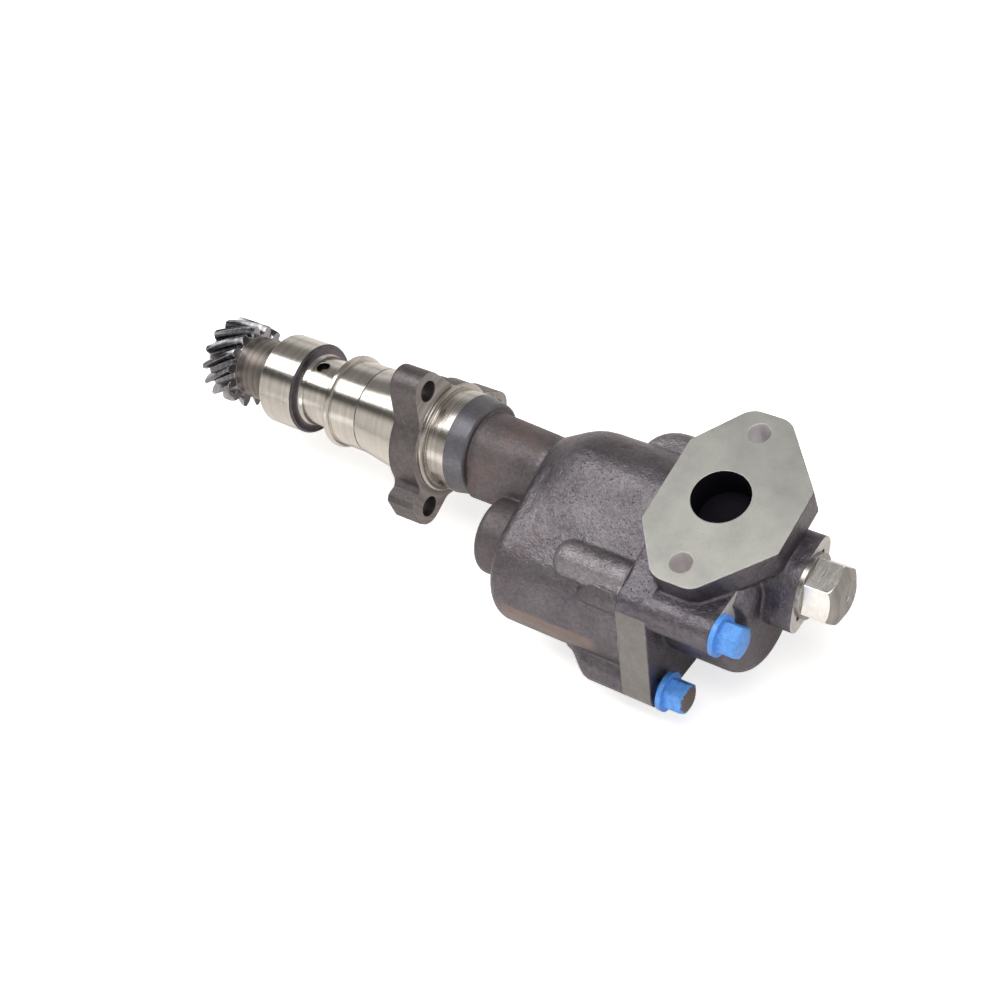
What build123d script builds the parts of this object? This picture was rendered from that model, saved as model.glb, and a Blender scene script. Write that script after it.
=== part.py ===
from build123d import *

import math
import os

# Engine oil pump. Lengths are millimetres.
# +X runs along the drive shaft from the drive gear to the relief valve, and +Z points out of the pickup face.
# The origin is on the drive shaft's axis, in the seat of the mounting flange.
# Sketches stand in the YZ plane, so a place across the shaft is a (y, z) pair.

# ---------------------------------------------------------------- fits
PRESS_FIT = 0.01
RUNNING_FIT = 0.05
SLIDING_FIT = 0.03
BOLT_CLEARANCE = 0.5
END_FLOAT = 0.05
TIP_CLEARANCE = 0.08
KEY_FIT = 0.02

# ---------------------------------------------------------------- journals and oil groove
TAPER_L = 36.0
TAPER_START_R = 28.0
TAPER_END_R = 33.5
PILOT_R = 28.0
PILOT_L = 25.0
PILOT_LIP_R = 30.5
PILOT_LIP_L = 4.5
GROOVE_R = 22.5
GROOVE_L = 27.0
FRONT_JOURNAL_R = 30.0
FRONT_JOURNAL_L = 28.0
JOURNAL_EDGE = 1.2
GROOVE_FILLET = 4.0
SCRIBED_LINE_W = 0.8
SCRIBED_LINE_DEPTH = 0.5
OUTLET_PORT_R = 4.5
OUTLET_PORT_INSET = 9.0
OUTLET_PORT_ANGLE = 78.0

# ---------------------------------------------------------------- mounting flange
FLANGE_T = 20.0
FLANGE_R = 36.5
FLANGE_SHIFT = (-2.5, -2.5)
EAR_COUNT = 3
EAR_BOLT_CIRCLE_R = 46.0
EAR_FIRST_ANGLE = 90.0
EAR_END_R = 12.0
EAR_WAIST_R = 27.0
EAR_BLEND = 6.0
EAR_HOLE_R = 6.75
STOP_PAD_TOP_Z = -7.5
STOP_PAD_W = 17.0
STOP_PAD_H = 22.0
STOP_PAD_EDGE = 3.0

# ---------------------------------------------------------------- stepped boss and neck
STEP_R = 35.0
STEP_T = 3.5
SPIGOT_R = 31.5
SPIGOT_L = 13.5
BAND_END_R = 29.0
BAND_L = 13.5
NECK_R = 24.5
NECK_END_R = 21.5
NECK_L = 47.5
NECK_GALLERY_R = 12.0
NECK_GALLERY_OFFSET = 19.1

# ---------------------------------------------------------------- pump gears
PUMP_TEETH = 11
PUMP_MODULE = 4.2
PUMP_PRESSURE_ANGLE = 25.0
PUMP_ADDENDUM = 0.9
PUMP_DEDENDUM = 1.15
PUMP_BACKLASH = 0.16
PUMP_GEAR_L = 62.0
IDLER_ANGLE = 201.5

# ---------------------------------------------------------------- drive gear
DRIVE_TEETH = 14
DRIVE_MODULE = 3.0
DRIVE_HELIX = 33.0
DRIVE_PRESSURE_ANGLE = 20.0
DRIVE_ADDENDUM = 1.0
DRIVE_DEDENDUM = 1.2
DRIVE_BACKLASH = 0.1
DRIVE_FACE_W = 23.0
DRIVE_HUB_R = 20.5
DRIVE_HUB_L = 26.0

# ---------------------------------------------------------------- housing round the gears
HOUSING_REAR_WALL = 30.0
SHOULDER_R = 22.0
SHOULDER_L = 24.0
SHOULDER_EASE = 9.0
SHOULDER_STEPS = 3
HOUSING_R = 34.5
HOUSING_IDLER_R = 40.0
HOUSING_IDLER_SHIFT = (-4.0, -3.0)
HOUSING_ROUND = 9.0
IDLER_BOSS_R = 24.5
IDLER_BOSS_L = 23.0
IDLER_BOSS_ROUND = 5.0
PORT_POCKET_R = 12.0
PORT_POCKET_OFFSET = 17.0
PORT_POCKET_INSET = 12.0
GALLERY_R = 4.0
GALLERY_OFFSET = 23.0
GALLERY_TURN_INSET = 14.0
GALLERY_SLANT_L = 24.0

# ---------------------------------------------------------------- joint and its bolts
COVER_FLANGE_T = 19.0
BOLT_PAD_H = 3.0
BOLT_BOSS_R = 11.5
BOLT_R = 5.0
BOLT_ENGAGEMENT = 20.0
BOLT_HOLE_RUNOUT = 3.0
BOLT_HEAD_AF = 17.0
BOLT_HEAD_H = 12.5
BOLT_HEAD_CHAMFER = 1.6
BOLT_FLANGE_R = 12.0
BOLT_FLANGE_T = 3.0
SHORT_BOLT_PLACES = ((-84.1, -42.8), (-31.4, -57.4), (17.0, -37.0), (39.0, 2.0))
LONG_BOLT_PLACE = (-65.0, 15.5)
LONG_BOLT_SEAT = 58.0
SPOT_FACE_R = 17.0
LUG_L = 43.0
LUG_RAMP_L = 18.0
LUG_DROP = 13.0
LUG_ROOT = 16.0
LUG_RAMP_STEPS = 6
BLUNT_LUG_PLACE = SHORT_BOLT_PLACES[3]
LONG_LUG_L = 27.0
LONG_LUG_RAMP_L = 5.0
RIB_R = 11.5
RIB_PLACE = (-56.8, 19.1)
RIB_L = 49.0
RIB_NOSE = 9.0
DOWEL_R = 3.0
DOWEL_L = 20.0
DOWEL_PLACES = ((-76.5, -17.0), (24.4, -19.2))

# ---------------------------------------------------------------- cover
COVER_LOBE_R = 35.5
COVER_LOBE_PLACE = (-32.7, -12.9)
COVER_LOBE_L = 48.0
COVER_LOBE_ROUND = 12.0

# ---------------------------------------------------------------- pickup flange, in x and y about its bore
PICKUP_X = 220.0
PICKUP_FACE_Z = 41.0
PICKUP_T = 18.0
PICKUP_BORE_R = 17.0
PICKUP_BORE_DEPTH = 21.0
PICKUP_BOLT_SPACING = 90.0
PICKUP_BOLT_HOLE_R = 6.5
PICKUP_END_REACH = 58.5
PICKUP_END_NEAR = 11.5
PICKUP_END_FAR = 13.0
PICKUP_SIDE_NEAR = 34.5
PICKUP_SIDE_NEAR_HALF = 28.0
PICKUP_SIDE_FAR = 45.5
PICKUP_SIDE_FAR_HALF = 21.0
PICKUP_END_R = 13.0
PICKUP_SIDE_R = 3.5
PICKUP_NECK_R = 26.0
LIP_GAP = 0.5
SUCTION_R = 8.5
SUCTION_LEAN = 11.0
SUCTION_RISE = 6.0

# ---------------------------------------------------------------- relief valve
RELIEF_PLACE = (-14.0, 5.0)
RELIEF_BOSS_R = 19.0
RELIEF_BOSS_L = 18.0
RELIEF_WEB_R = 14.0
RELIEF_LOBE_R = 9.0
RELIEF_LOBE_OFFSET = 19.0
RELIEF_LOBE_ANGLE = 24.0
LOCK_HOLE_R = 1.8
LOCK_HOLE_DEPTH = 7.0
RELIEF_BORE_R = 10.0
RELIEF_CHAMBER_R = 6.5
RELIEF_CHAMBER_L = 9.0
RELIEF_FEED_R = 4.0
SPILL_R = 3.0
PLUNGER_L = 16.0
PLUNGER_WALL = 3.0
PLUNGER_CROWN = 4.0
PLUNGER_TRAVEL = 7.0
CAP_THREAD_R = 12.0
CAP_THREAD_L = 12.0
CAP_HEX_AF = 32.0
CAP_HEX_L = 19.0
CAP_DOME = 4.0
CAP_RECESS_R = 8.0
CAP_CENTRE_MARK_R = 1.5
CAP_CENTRE_MARK_DEPTH = 2.0
CAP_WASHER_R = 19.0
CAP_WASHER_T = 3.0
SPRING_WIRE_R = 0.9
SPRING_WIRE_FLATS = 6
SPRING_R = 5.6
SPRING_COIL_COUNT = 6

# ---------------------------------------------------------------- shafts and bushings
SHAFT_R = 12.5
SHAFT_SEAT_R = 11.0
SHAFT_THREAD_R = 9.0
SHAFT_THREAD_L = 11.0
BUSHING_WALL = 3.5
FRONT_BUSHING_L = 28.0
REAR_BUSHING_L = 30.0
COVER_BUSHING_L = 15.0
THRUST_WASHER_R = 21.0
THRUST_WASHER_T = 2.9
GEAR_WASHER_R = 15.0
GEAR_WASHER_T = 2.0
GEAR_NUT_AF = 24.0
GEAR_NUT_T = 8.0
GEAR_NUT_CHAMFER = 1.0
IDLER_SHAFT_R = 10.0
IDLER_BUSHING_WALL = 2.5
IDLER_SHAFT_GRIP = 40.0
KEY_W = 6.0
PUMP_KEY_L = 50.0
DRIVE_KEY_L = 28.0

# ---------------------------------------------------------------- stations along X
TAPER_X = -TAPER_L
PILOT_X = TAPER_X - PILOT_L
GROOVE_X = PILOT_X - GROOVE_L
FRONT_X = GROOVE_X - FRONT_JOURNAL_L
HUB_X = FRONT_X - THRUST_WASHER_T - 2 * END_FLOAT
GEAR_X = HUB_X - DRIVE_HUB_L - DRIVE_FACE_W
STEP_X = FLANGE_T + STEP_T
BAND_X = STEP_X + SPIGOT_L
NECK_X = BAND_X + BAND_L
HOUSING_X = NECK_X + NECK_L
CHAMBER_X = HOUSING_X + HOUSING_REAR_WALL
CHAMBER_L = PUMP_GEAR_L + 2 * END_FLOAT
JOINT_X = CHAMBER_X + CHAMBER_L
BOLT_SEAT_X = JOINT_X + COVER_FLANGE_T + BOLT_PAD_H
LONG_SEAT_X = JOINT_X + LONG_BOLT_SEAT
COVER_FRONT_X = BOLT_SEAT_X - BOLT_PAD_H + COVER_LOBE_L
RELIEF_FACE_X = COVER_FRONT_X + RELIEF_BOSS_L
PLUNGER_X = RELIEF_FACE_X - CAP_THREAD_L - PLUNGER_TRAVEL - PLUNGER_L
CAP_SEAT_X = RELIEF_FACE_X + CAP_WASHER_T
PUMP_GEAR_X = CHAMBER_X + END_FLOAT
SHAFT_END_X = JOINT_X + COVER_BUSHING_L

# ---------------------------------------------------------------- places across the shaft
PUMP_PITCH_R = PUMP_MODULE * PUMP_TEETH / 2
PUMP_TIP_R = PUMP_PITCH_R + PUMP_ADDENDUM * PUMP_MODULE
CHAMBER_R = PUMP_TIP_R + TIP_CLEARANCE
IDLER_DIR = (math.cos(math.radians(IDLER_ANGLE)), math.sin(math.radians(IDLER_ANGLE)))
SUCTION_DIR = (IDLER_DIR[1], -IDLER_DIR[0])
IDLER_PLACE = (2 * PUMP_PITCH_R * IDLER_DIR[0], 2 * PUMP_PITCH_R * IDLER_DIR[1])
MESH_PLACE = (IDLER_PLACE[0] / 2, IDLER_PLACE[1] / 2)
BUSHING_R = SHAFT_R + BUSHING_WALL
IDLER_BUSHING_R = IDLER_SHAFT_R + RUNNING_FIT + IDLER_BUSHING_WALL
NECK_GALLERY_PLACE = (NECK_GALLERY_OFFSET * IDLER_DIR[0], NECK_GALLERY_OFFSET * IDLER_DIR[1])
GALLERY_PLACE = (GALLERY_OFFSET * IDLER_DIR[0], GALLERY_OFFSET * IDLER_DIR[1])


def shifted(place, direction, distance):
    """Place moved a distance along a direction, both as (y, z)."""
    return (place[0] + direction[0] * distance, place[1] + direction[1] * distance)


SUCTION_PLACE = shifted(MESH_PLACE, SUCTION_DIR, PORT_POCKET_OFFSET)
DISCHARGE_PLACE = shifted(MESH_PLACE, SUCTION_DIR, -PORT_POCKET_OFFSET)
HOUSING_IDLER_PLACE = (IDLER_PLACE[0] + HOUSING_IDLER_SHIFT[0], IDLER_PLACE[1] + HOUSING_IDLER_SHIFT[1])


# ---------------------------------------------------------------- shapes that several parts use
def rod(radius, x_start, x_end, place=(0.0, 0.0)):
    """Cylinder along X between two stations."""
    length = x_end - x_start
    upright = Cylinder(radius, length, align=(Align.CENTER, Align.CENTER, Align.MIN))
    return Pos(x_start, place[0], place[1]) * (Rot(0, 90, 0) * upright)


def drilled(radius, start, end):
    """Round passage between two points."""
    path = Vector(*end) - Vector(*start)
    tool = Cylinder(radius, path.length, align=(Align.CENTER, Align.CENTER, Align.MIN))
    return Plane(origin=start, z_dir=path) * tool


def turned(profile, rounds, place=(0.0, 0.0)):
    """Solid of revolution about X from (x, radius) corners, each with its own rounding."""
    outline = FilletPolyline(*profile, radius=rounds, close=True)
    return Pos(0, place[0], place[1]) * revolve(make_face(outline.edges()), Axis.X)


def bevelled(corners):
    """Points of an (x, radius, bevel) outline, with two points where a corner is bevelled."""
    points = []
    for index, (x, radius, bevel) in enumerate(corners):
        if bevel == 0:
            points.append((x, radius))
            continue
        for other_x, other_radius, _ in (corners[index - 1], corners[(index + 1) % len(corners)]):
            share = bevel / math.dist((x, radius), (other_x, other_radius))
            points.append((x + (other_x - x) * share, radius + (other_radius - radius) * share))
    return points


def hull_plate(circles, x_start, thickness):
    """Plate whose outline is the convex hull of ((y, z), radius) circles."""
    rims = [(Pos(place[0], place[1]) * Circle(radius)).edge() for place, radius in circles]
    return extrude(Plane.YZ.offset(x_start) * make_hull(rims), thickness)


def hexagon(across_flats, x_start, length, chamfer_run):
    """Hexagonal bar along X, turned down to a chamfer at its far end."""
    corner_r = across_flats / math.sqrt(3)
    bar = extrude(Plane.YZ.offset(x_start) * RegularPolygon(corner_r, 6), length)
    profile = (
        (x_start, 0),
        (x_start, corner_r + 1),
        (x_start + length - chamfer_run, corner_r),
        (x_start + length, corner_r - 2 * chamfer_run),
        (x_start + length, 0),
    )
    return bar & turned(profile, (0, 0, 0, 0, 0))


def involute_section(teeth, pitch_r, transverse_angle, tip_r, root_r, backlash):
    """Gear section about the origin with one tooth centred on the first axis."""
    base_r = pitch_r * math.cos(math.radians(transverse_angle))
    pitch_involute = math.tan(math.radians(transverse_angle)) - math.radians(transverse_angle)
    half_tooth = math.pi / (2 * teeth) - backlash / (4 * pitch_r) + pitch_involute

    def polar(radius, angle):
        return (radius * math.cos(angle), radius * math.sin(angle))

    def half_angle(radius):
        roll = math.acos(min(base_r / radius, 1.0))
        return half_tooth - (math.tan(roll) - roll)

    flank_start_r = max(base_r, root_r)
    flank_steps = 6
    radii = [flank_start_r + (tip_r - flank_start_r) * step / flank_steps for step in range(flank_steps + 1)]
    tip_half = half_angle(tip_r)
    root_half = half_angle(flank_start_r)
    pitch_angle = 2 * math.pi / teeth
    edges = []
    for tooth in range(teeth):
        centre = tooth * pitch_angle
        rising = [polar(radius, centre - half_angle(radius)) for radius in radii]
        falling = [polar(radius, centre + half_angle(radius)) for radius in reversed(radii)]
        foot = polar(root_r, centre - root_half)
        heel = polar(root_r, centre + root_half)
        next_foot = polar(root_r, centre + pitch_angle - root_half)
        if root_r < flank_start_r:
            edges.append(Line(foot, rising[0]))
        edges.append(Spline(*rising))
        edges.append(ThreePointArc(rising[-1], polar(tip_r, centre), falling[0]))
        edges.append(Spline(*falling))
        if root_r < flank_start_r:
            edges.append(Line(falling[-1], heel))
        edges.append(ThreePointArc(heel, polar(root_r, centre + pitch_angle / 2), next_foot))
    return make_face([edge.edge() for edge in edges])


def key_slot(length, x_start, shaft_r, clearance=0.0):
    """Square key along X, half sunk in a shaft of the given radius."""
    width = KEY_W + 2 * clearance
    block = Box(length + 2 * clearance, width, width)
    return Pos(x_start + length / 2, 0, shaft_r) * block


def mesh_turn(offset_teeth):
    """Turn that points a pump gear's tooth along the line of centres, offset by a share of a tooth."""
    return Rot(IDLER_ANGLE + offset_teeth * 360 / PUMP_TEETH, 0, 0)


# ---------------------------------------------------------------- pump body
def ear_angles():
    """Angles of the mounting ears about the shaft, from +Y towards +Z."""
    return [EAR_FIRST_ANGLE + ear * 360 / EAR_COUNT for ear in range(EAR_COUNT)]


def polar_place(radius, angle):
    """Place at a radius and angle about the shaft."""
    return (radius * math.cos(math.radians(angle)), radius * math.sin(math.radians(angle)))


def mounting_flange():
    """Three-eared flange whose last ear carries a flat stop pad."""
    flange = rod(FLANGE_R, 0, FLANGE_T, FLANGE_SHIFT)
    for angle in ear_angles():
        ear_place = polar_place(EAR_BOLT_CIRCLE_R, angle)
        flange += hull_plate((((0.0, 0.0), EAR_WAIST_R), (ear_place, EAR_END_R)), 0, FLANGE_T)
    corners = [edge for edge in flange.edges().filter_by(Axis.X) if on_flange_rim(edge)]
    flange = fillet(corners, EAR_BLEND)
    pad_y, pad_z = polar_place(EAR_BOLT_CIRCLE_R, EAR_FIRST_ANGLE + 360 / EAR_COUNT)
    pad = Pos(FLANGE_T / 2, pad_y - EAR_END_R, STOP_PAD_TOP_Z) * Box(
        FLANGE_T, STOP_PAD_W, STOP_PAD_H, align=(Align.CENTER, Align.MIN, Align.MAX)
    )
    pad = chamfer(pad.edges().filter_by(Axis.X).sort_by(Axis.Y)[:2], STOP_PAD_EDGE)
    return flange + pad


def on_flange_rim(edge):
    """Whether an edge along X lies where an ear meets the flange's rim."""
    offset = math.hypot(edge.center().Y - FLANGE_SHIFT[0], edge.center().Z - FLANGE_SHIFT[1])
    return abs(offset - FLANGE_R) < EAR_BLEND / 100


def spine():
    """Turned length from the front journal to the neck's start."""
    edge = JOURNAL_EDGE
    line = SCRIBED_LINE_W / 2
    profile = bevelled(
        (
            (FRONT_X, 0, 0),
            (FRONT_X, FRONT_JOURNAL_R, edge),
            (GROOVE_X, FRONT_JOURNAL_R, edge),
            (GROOVE_X, GROOVE_R, 0),
            (PILOT_X, GROOVE_R, 0),
            (PILOT_X, PILOT_LIP_R, edge),
            (PILOT_X + PILOT_LIP_L, PILOT_LIP_R, edge),
            (PILOT_X + PILOT_LIP_L, PILOT_R, 0),
            (TAPER_X - line, PILOT_R, 0),
            (TAPER_X - line, PILOT_R - SCRIBED_LINE_DEPTH, 0),
            (TAPER_X + line, PILOT_R - SCRIBED_LINE_DEPTH, 0),
            (TAPER_X + line, TAPER_START_R, 0),
            (0, TAPER_END_R, 0),
            (FLANGE_T / 2, TAPER_END_R, 0),
            (FLANGE_T / 2, STEP_R, 0),
            (STEP_X, STEP_R, edge),
            (STEP_X, SPIGOT_R, 0),
            (BAND_X, SPIGOT_R, 0),
            (NECK_X, BAND_END_R, edge),
            (NECK_X, 0, 0),
        )
    )
    rounds = [GROOVE_FILLET if radius == GROOVE_R else 0 for _, radius in profile]
    return turned(profile, rounds)


def housing_section(x, drive_r, idler_r):
    """Outline of the housing at a station, tangent to a circle about each gear."""
    rims = [Pos(0, 0) * Circle(drive_r), Pos(*HOUSING_IDLER_PLACE) * Circle(idler_r)]
    return Plane.YZ.offset(x) * make_hull([rim.edge() for rim in rims])


def housing():
    """Cast shell round the pump gears, with its sloping shoulder, neck and idler boss."""
    corner = (HOUSING_X + SHOULDER_L, HOUSING_R)
    start = HOUSING_X + SHOULDER_L + SHOULDER_EASE
    stations = [(HOUSING_X, SHOULDER_R)]
    stations += eased(towards(corner, stations[0], SHOULDER_EASE), corner, (start, HOUSING_R), SHOULDER_STEPS)
    shoulder = loft([housing_section(x, radius, HOUSING_IDLER_R) for x, radius in stations], ruled=True)
    shoulder = fillet(shoulder.faces().sort_by(Axis.X)[0].edges(), HOUSING_ROUND)
    shell = extrude(housing_section(start, HOUSING_R, HOUSING_IDLER_R), JOINT_X - start)
    boss = rod(IDLER_BOSS_R, HOUSING_X - IDLER_BOSS_L, JOINT_X, IDLER_PLACE)
    boss = fillet(boss.faces().sort_by(Axis.X)[0].edges(), IDLER_BOSS_ROUND)
    return shoulder + shell + boss + neck()


def neck():
    """Neck round the drive shaft, with a bulge for the oil gallery."""
    sections = []
    for x, radius in ((NECK_X, NECK_R), (HOUSING_X + HOUSING_ROUND, NECK_END_R)):
        rims = [Circle(radius), Pos(*NECK_GALLERY_PLACE) * Circle(NECK_GALLERY_R)]
        sections.append(Plane.YZ.offset(x) * make_hull([rim.edge() for rim in rims]))
    return loft(sections, ruled=True)


def nearest_gear(place):
    """Centre of the pump gear nearer to a place."""
    return min(((0.0, 0.0), IDLER_PLACE), key=lambda centre: math.dist(centre, place))


def towards(place, centre, distance):
    """Place moved a distance towards a centre."""
    share = distance / math.dist(place, centre)
    return (place[0] + (centre[0] - place[0]) * share, place[1] + (centre[1] - place[1]) * share)


def eased(start, corner, end, steps):
    """Points of a curve that rounds off the corner between two points."""
    points = []
    for step in range(steps + 1):
        share = step / steps
        first = towards(start, corner, share * math.dist(start, corner))
        second = (corner[0] + (end[0] - corner[0]) * share, corner[1] + (end[1] - corner[1]) * share)
        points.append(shifted(first, (second[0] - first[0], second[1] - first[1]), share))
    return points


def lug_ramp(blunt):
    """Steps of a lug's ramp, as (share of its length, share of its height)."""
    steps = []
    for step in range(LUG_RAMP_STEPS + 1):
        share = step / LUG_RAMP_STEPS
        turn = share * math.pi / 2
        eased_rise = share * share * (3 - 2 * share)
        steps.append((1 - math.cos(turn), math.sin(turn)) if blunt else (share, eased_rise))
    return steps


def bolt_lug(place, length, ramp_length):
    """Lug behind the joint that ramps out of the housing to a bolt's boss."""
    centre = nearest_gear(place)
    root = towards(place, centre, LUG_ROOT)
    sections = []
    for advance, rise in lug_ramp(place == BLUNT_LUG_PLACE):
        top = towards(place, centre, LUG_DROP * (1 - rise))
        rims = [Pos(*top) * Circle(BOLT_BOSS_R), Pos(*root) * Circle(BOLT_BOSS_R)]
        section = Plane.YZ.offset(JOINT_X - length + ramp_length * advance)
        sections.append(section * make_hull([rim.edge() for rim in rims]))
    block = hull_plate(((place, BOLT_BOSS_R), (root, BOLT_BOSS_R)), JOINT_X - length + ramp_length, length - ramp_length)
    return loft(sections, ruled=True) + block


def idler_rib():
    """Round-nosed rib along the housing, over the idler gear."""
    rib = rod(RIB_R, JOINT_X - RIB_L, JOINT_X, RIB_PLACE)
    return fillet(rib.faces().sort_by(Axis.X)[0].edges(), RIB_NOSE)


def bolt_places():
    """Places of every cover bolt."""
    return (*SHORT_BOLT_PLACES, LONG_BOLT_PLACE)


def body_bores():
    """Everything that is bored, cored or drilled out of the pump body."""
    cuts = rod(BUSHING_R + PRESS_FIT, FRONT_X - 1, CHAMBER_X + 1)
    for place in ((0.0, 0.0), IDLER_PLACE):
        cuts += rod(CHAMBER_R, CHAMBER_X, JOINT_X + 1, place)
    cuts += rod(PORT_POCKET_R, CHAMBER_X + PORT_POCKET_INSET, JOINT_X + 1, SUCTION_PLACE)
    cuts += rod(PORT_POCKET_R, CHAMBER_X, JOINT_X + 1, DISCHARGE_PLACE)
    cuts += rod(IDLER_SHAFT_R + PRESS_FIT, CHAMBER_X - IDLER_SHAFT_GRIP, CHAMBER_X + 1, IDLER_PLACE)
    turn_x = NECK_X + GALLERY_TURN_INSET
    slant_x = CHAMBER_X - GALLERY_SLANT_L
    cuts += rod(GALLERY_R, turn_x, slant_x, GALLERY_PLACE)
    cuts += drilled(GALLERY_R, (slant_x, *GALLERY_PLACE), (CHAMBER_X + 1, *DISCHARGE_PLACE))
    cuts += drilled(GALLERY_R, (turn_x + GALLERY_R, 0, 0), (turn_x + GALLERY_R, *GALLERY_PLACE))
    port_x = GROOVE_X + OUTLET_PORT_INSET
    port_end = polar_place(GROOVE_R + OUTLET_PORT_R, OUTLET_PORT_ANGLE)
    cuts += drilled(OUTLET_PORT_R, (port_x, 0, 0), (port_x, *port_end))
    for angle in ear_angles():
        cuts += rod(EAR_HOLE_R, -1, FLANGE_T + 1, polar_place(EAR_BOLT_CIRCLE_R, angle))
    hole_end = JOINT_X - BOLT_ENGAGEMENT - BOLT_HOLE_RUNOUT
    for place in bolt_places():
        cuts += rod(BOLT_R + PRESS_FIT, hole_end, JOINT_X + 1, place)
    for place in DOWEL_PLACES:
        cuts += rod(DOWEL_R + PRESS_FIT, JOINT_X - DOWEL_L / 2, JOINT_X + 1, place)
    return cuts


def pump_body():
    """One casting: journals, mounting flange, neck and gear housing."""
    casting = spine() + mounting_flange() + housing() + idler_rib()
    for place in SHORT_BOLT_PLACES:
        casting += bolt_lug(place, LUG_L, LUG_RAMP_L)
    casting += bolt_lug(LONG_BOLT_PLACE, LONG_LUG_L, LONG_LUG_RAMP_L)
    return casting - body_bores()


# ---------------------------------------------------------------- cover
def pickup_flange():
    """Flange for the suction tube, with long sides along Y and blunt bolted ends."""
    near = PICKUP_X - PICKUP_SIDE_NEAR
    far = PICKUP_X + PICKUP_SIDE_FAR
    right_side = (
        (near, PICKUP_SIDE_NEAR_HALF),
        (PICKUP_X - PICKUP_END_NEAR, PICKUP_END_REACH),
        (PICKUP_X + PICKUP_END_FAR, PICKUP_END_REACH),
        (far, PICKUP_SIDE_FAR_HALF),
    )
    left_side = [(x, -y) for x, y in reversed(right_side)]
    rounds = [PICKUP_END_R if abs(y) == PICKUP_END_REACH else PICKUP_SIDE_R for _, y in (*right_side, *left_side)]
    outline = FilletPolyline(*right_side, *left_side, radius=rounds, close=True)
    plate = make_face(outline.edges())
    return extrude(Plane.XY.offset(PICKUP_FACE_Z - PICKUP_T) * plate, PICKUP_T)


def relief_lobes():
    """Places of the relief boss's two lobes."""
    return [
        shifted(RELIEF_PLACE, polar_place(side, RELIEF_LOBE_ANGLE), RELIEF_LOBE_OFFSET) for side in (-1, 1)
    ]


def relief_boss():
    """Two-lobed boss that carries the relief valve."""
    circles = [(lobe, RELIEF_LOBE_R) for lobe in relief_lobes()]
    start = BOLT_SEAT_X - BOLT_PAD_H
    return hull_plate(circles + [(RELIEF_PLACE, RELIEF_BOSS_R)], start, RELIEF_FACE_X - start)


def relief_web():
    """Solid web between the long bolt's boss and the relief valve."""
    ends = ((LONG_BOLT_PLACE, BOLT_BOSS_R), (RELIEF_PLACE, RELIEF_WEB_R))
    return hull_plate(ends, JOINT_X, LONG_SEAT_X - JOINT_X)


def cover_bores():
    """Everything that is bored or drilled out of the cover."""
    cuts = rod(BUSHING_R + PRESS_FIT, JOINT_X - 1, SHAFT_END_X + 1)
    cuts += rod(IDLER_SHAFT_R + PRESS_FIT, JOINT_X - 1, SHAFT_END_X + 1, IDLER_PLACE)
    bore_floor_z = PICKUP_FACE_Z - PICKUP_BORE_DEPTH
    cuts += drilled(PICKUP_BORE_R, (PICKUP_X, 0, bore_floor_z), (PICKUP_X, 0, PICKUP_FACE_Z + 1))
    throat = (PICKUP_X, -SUCTION_LEAN, bore_floor_z + SUCTION_RISE)
    cuts += drilled(SUCTION_R, (JOINT_X - 3, *SUCTION_PLACE), throat)
    for side in (-1, 1):
        bolt_y = side * PICKUP_BOLT_SPACING / 2
        bottom = (PICKUP_X, bolt_y, PICKUP_FACE_Z - PICKUP_T - 1)
        cuts += drilled(PICKUP_BOLT_HOLE_R, bottom, (PICKUP_X, bolt_y, PICKUP_FACE_Z + 1))
    for lobe in relief_lobes():
        cuts += rod(LOCK_HOLE_R, RELIEF_FACE_X - LOCK_HOLE_DEPTH, RELIEF_FACE_X + 1, lobe)
    bore_end_x = PLUNGER_X - END_FLOAT
    chamber_x = bore_end_x - RELIEF_CHAMBER_L
    feed_x = chamber_x + RELIEF_FEED_R
    cuts += rod(RELIEF_BORE_R, bore_end_x, RELIEF_FACE_X + 1, RELIEF_PLACE)
    cuts += rod(RELIEF_CHAMBER_R, chamber_x, bore_end_x + 1, RELIEF_PLACE)
    cuts += rod(CAP_THREAD_R + PRESS_FIT, RELIEF_FACE_X - CAP_THREAD_L, RELIEF_FACE_X + 1, RELIEF_PLACE)
    cuts += rod(RELIEF_FEED_R, JOINT_X - 1, feed_x + RELIEF_FEED_R, DISCHARGE_PLACE)
    cuts += drilled(RELIEF_FEED_R, (feed_x, *DISCHARGE_PLACE), (feed_x, *RELIEF_PLACE))
    spill_end = (PICKUP_X + PICKUP_BORE_R / 2, 0, bore_floor_z + SPILL_R)
    cuts += drilled(SPILL_R, (PLUNGER_X + PLUNGER_TRAVEL - SPILL_R, *RELIEF_PLACE), spill_end)
    for place in SHORT_BOLT_PLACES:
        cuts += rod(BOLT_R + BOLT_CLEARANCE, JOINT_X - 1, BOLT_SEAT_X + 1, place)
        cuts += rod(BOLT_FLANGE_R + BOLT_CLEARANCE, BOLT_SEAT_X, RELIEF_FACE_X + 1, place)
    cuts += rod(BOLT_R + BOLT_CLEARANCE, JOINT_X - 1, LONG_SEAT_X + 1, LONG_BOLT_PLACE)
    cuts += rod(SPOT_FACE_R, LONG_SEAT_X, RELIEF_FACE_X + 1, LONG_BOLT_PLACE)
    for place in DOWEL_PLACES:
        cuts += rod(DOWEL_R + PRESS_FIT, JOINT_X - 1, JOINT_X + DOWEL_L / 2, place)
    reach = PICKUP_END_REACH + 1
    below_lip = Box(reach, 2 * reach, reach, align=(Align.MAX, Align.CENTER, Align.MAX))
    return cuts + Pos(JOINT_X, 0, HOUSING_R + LIP_GAP) * below_lip


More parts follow.
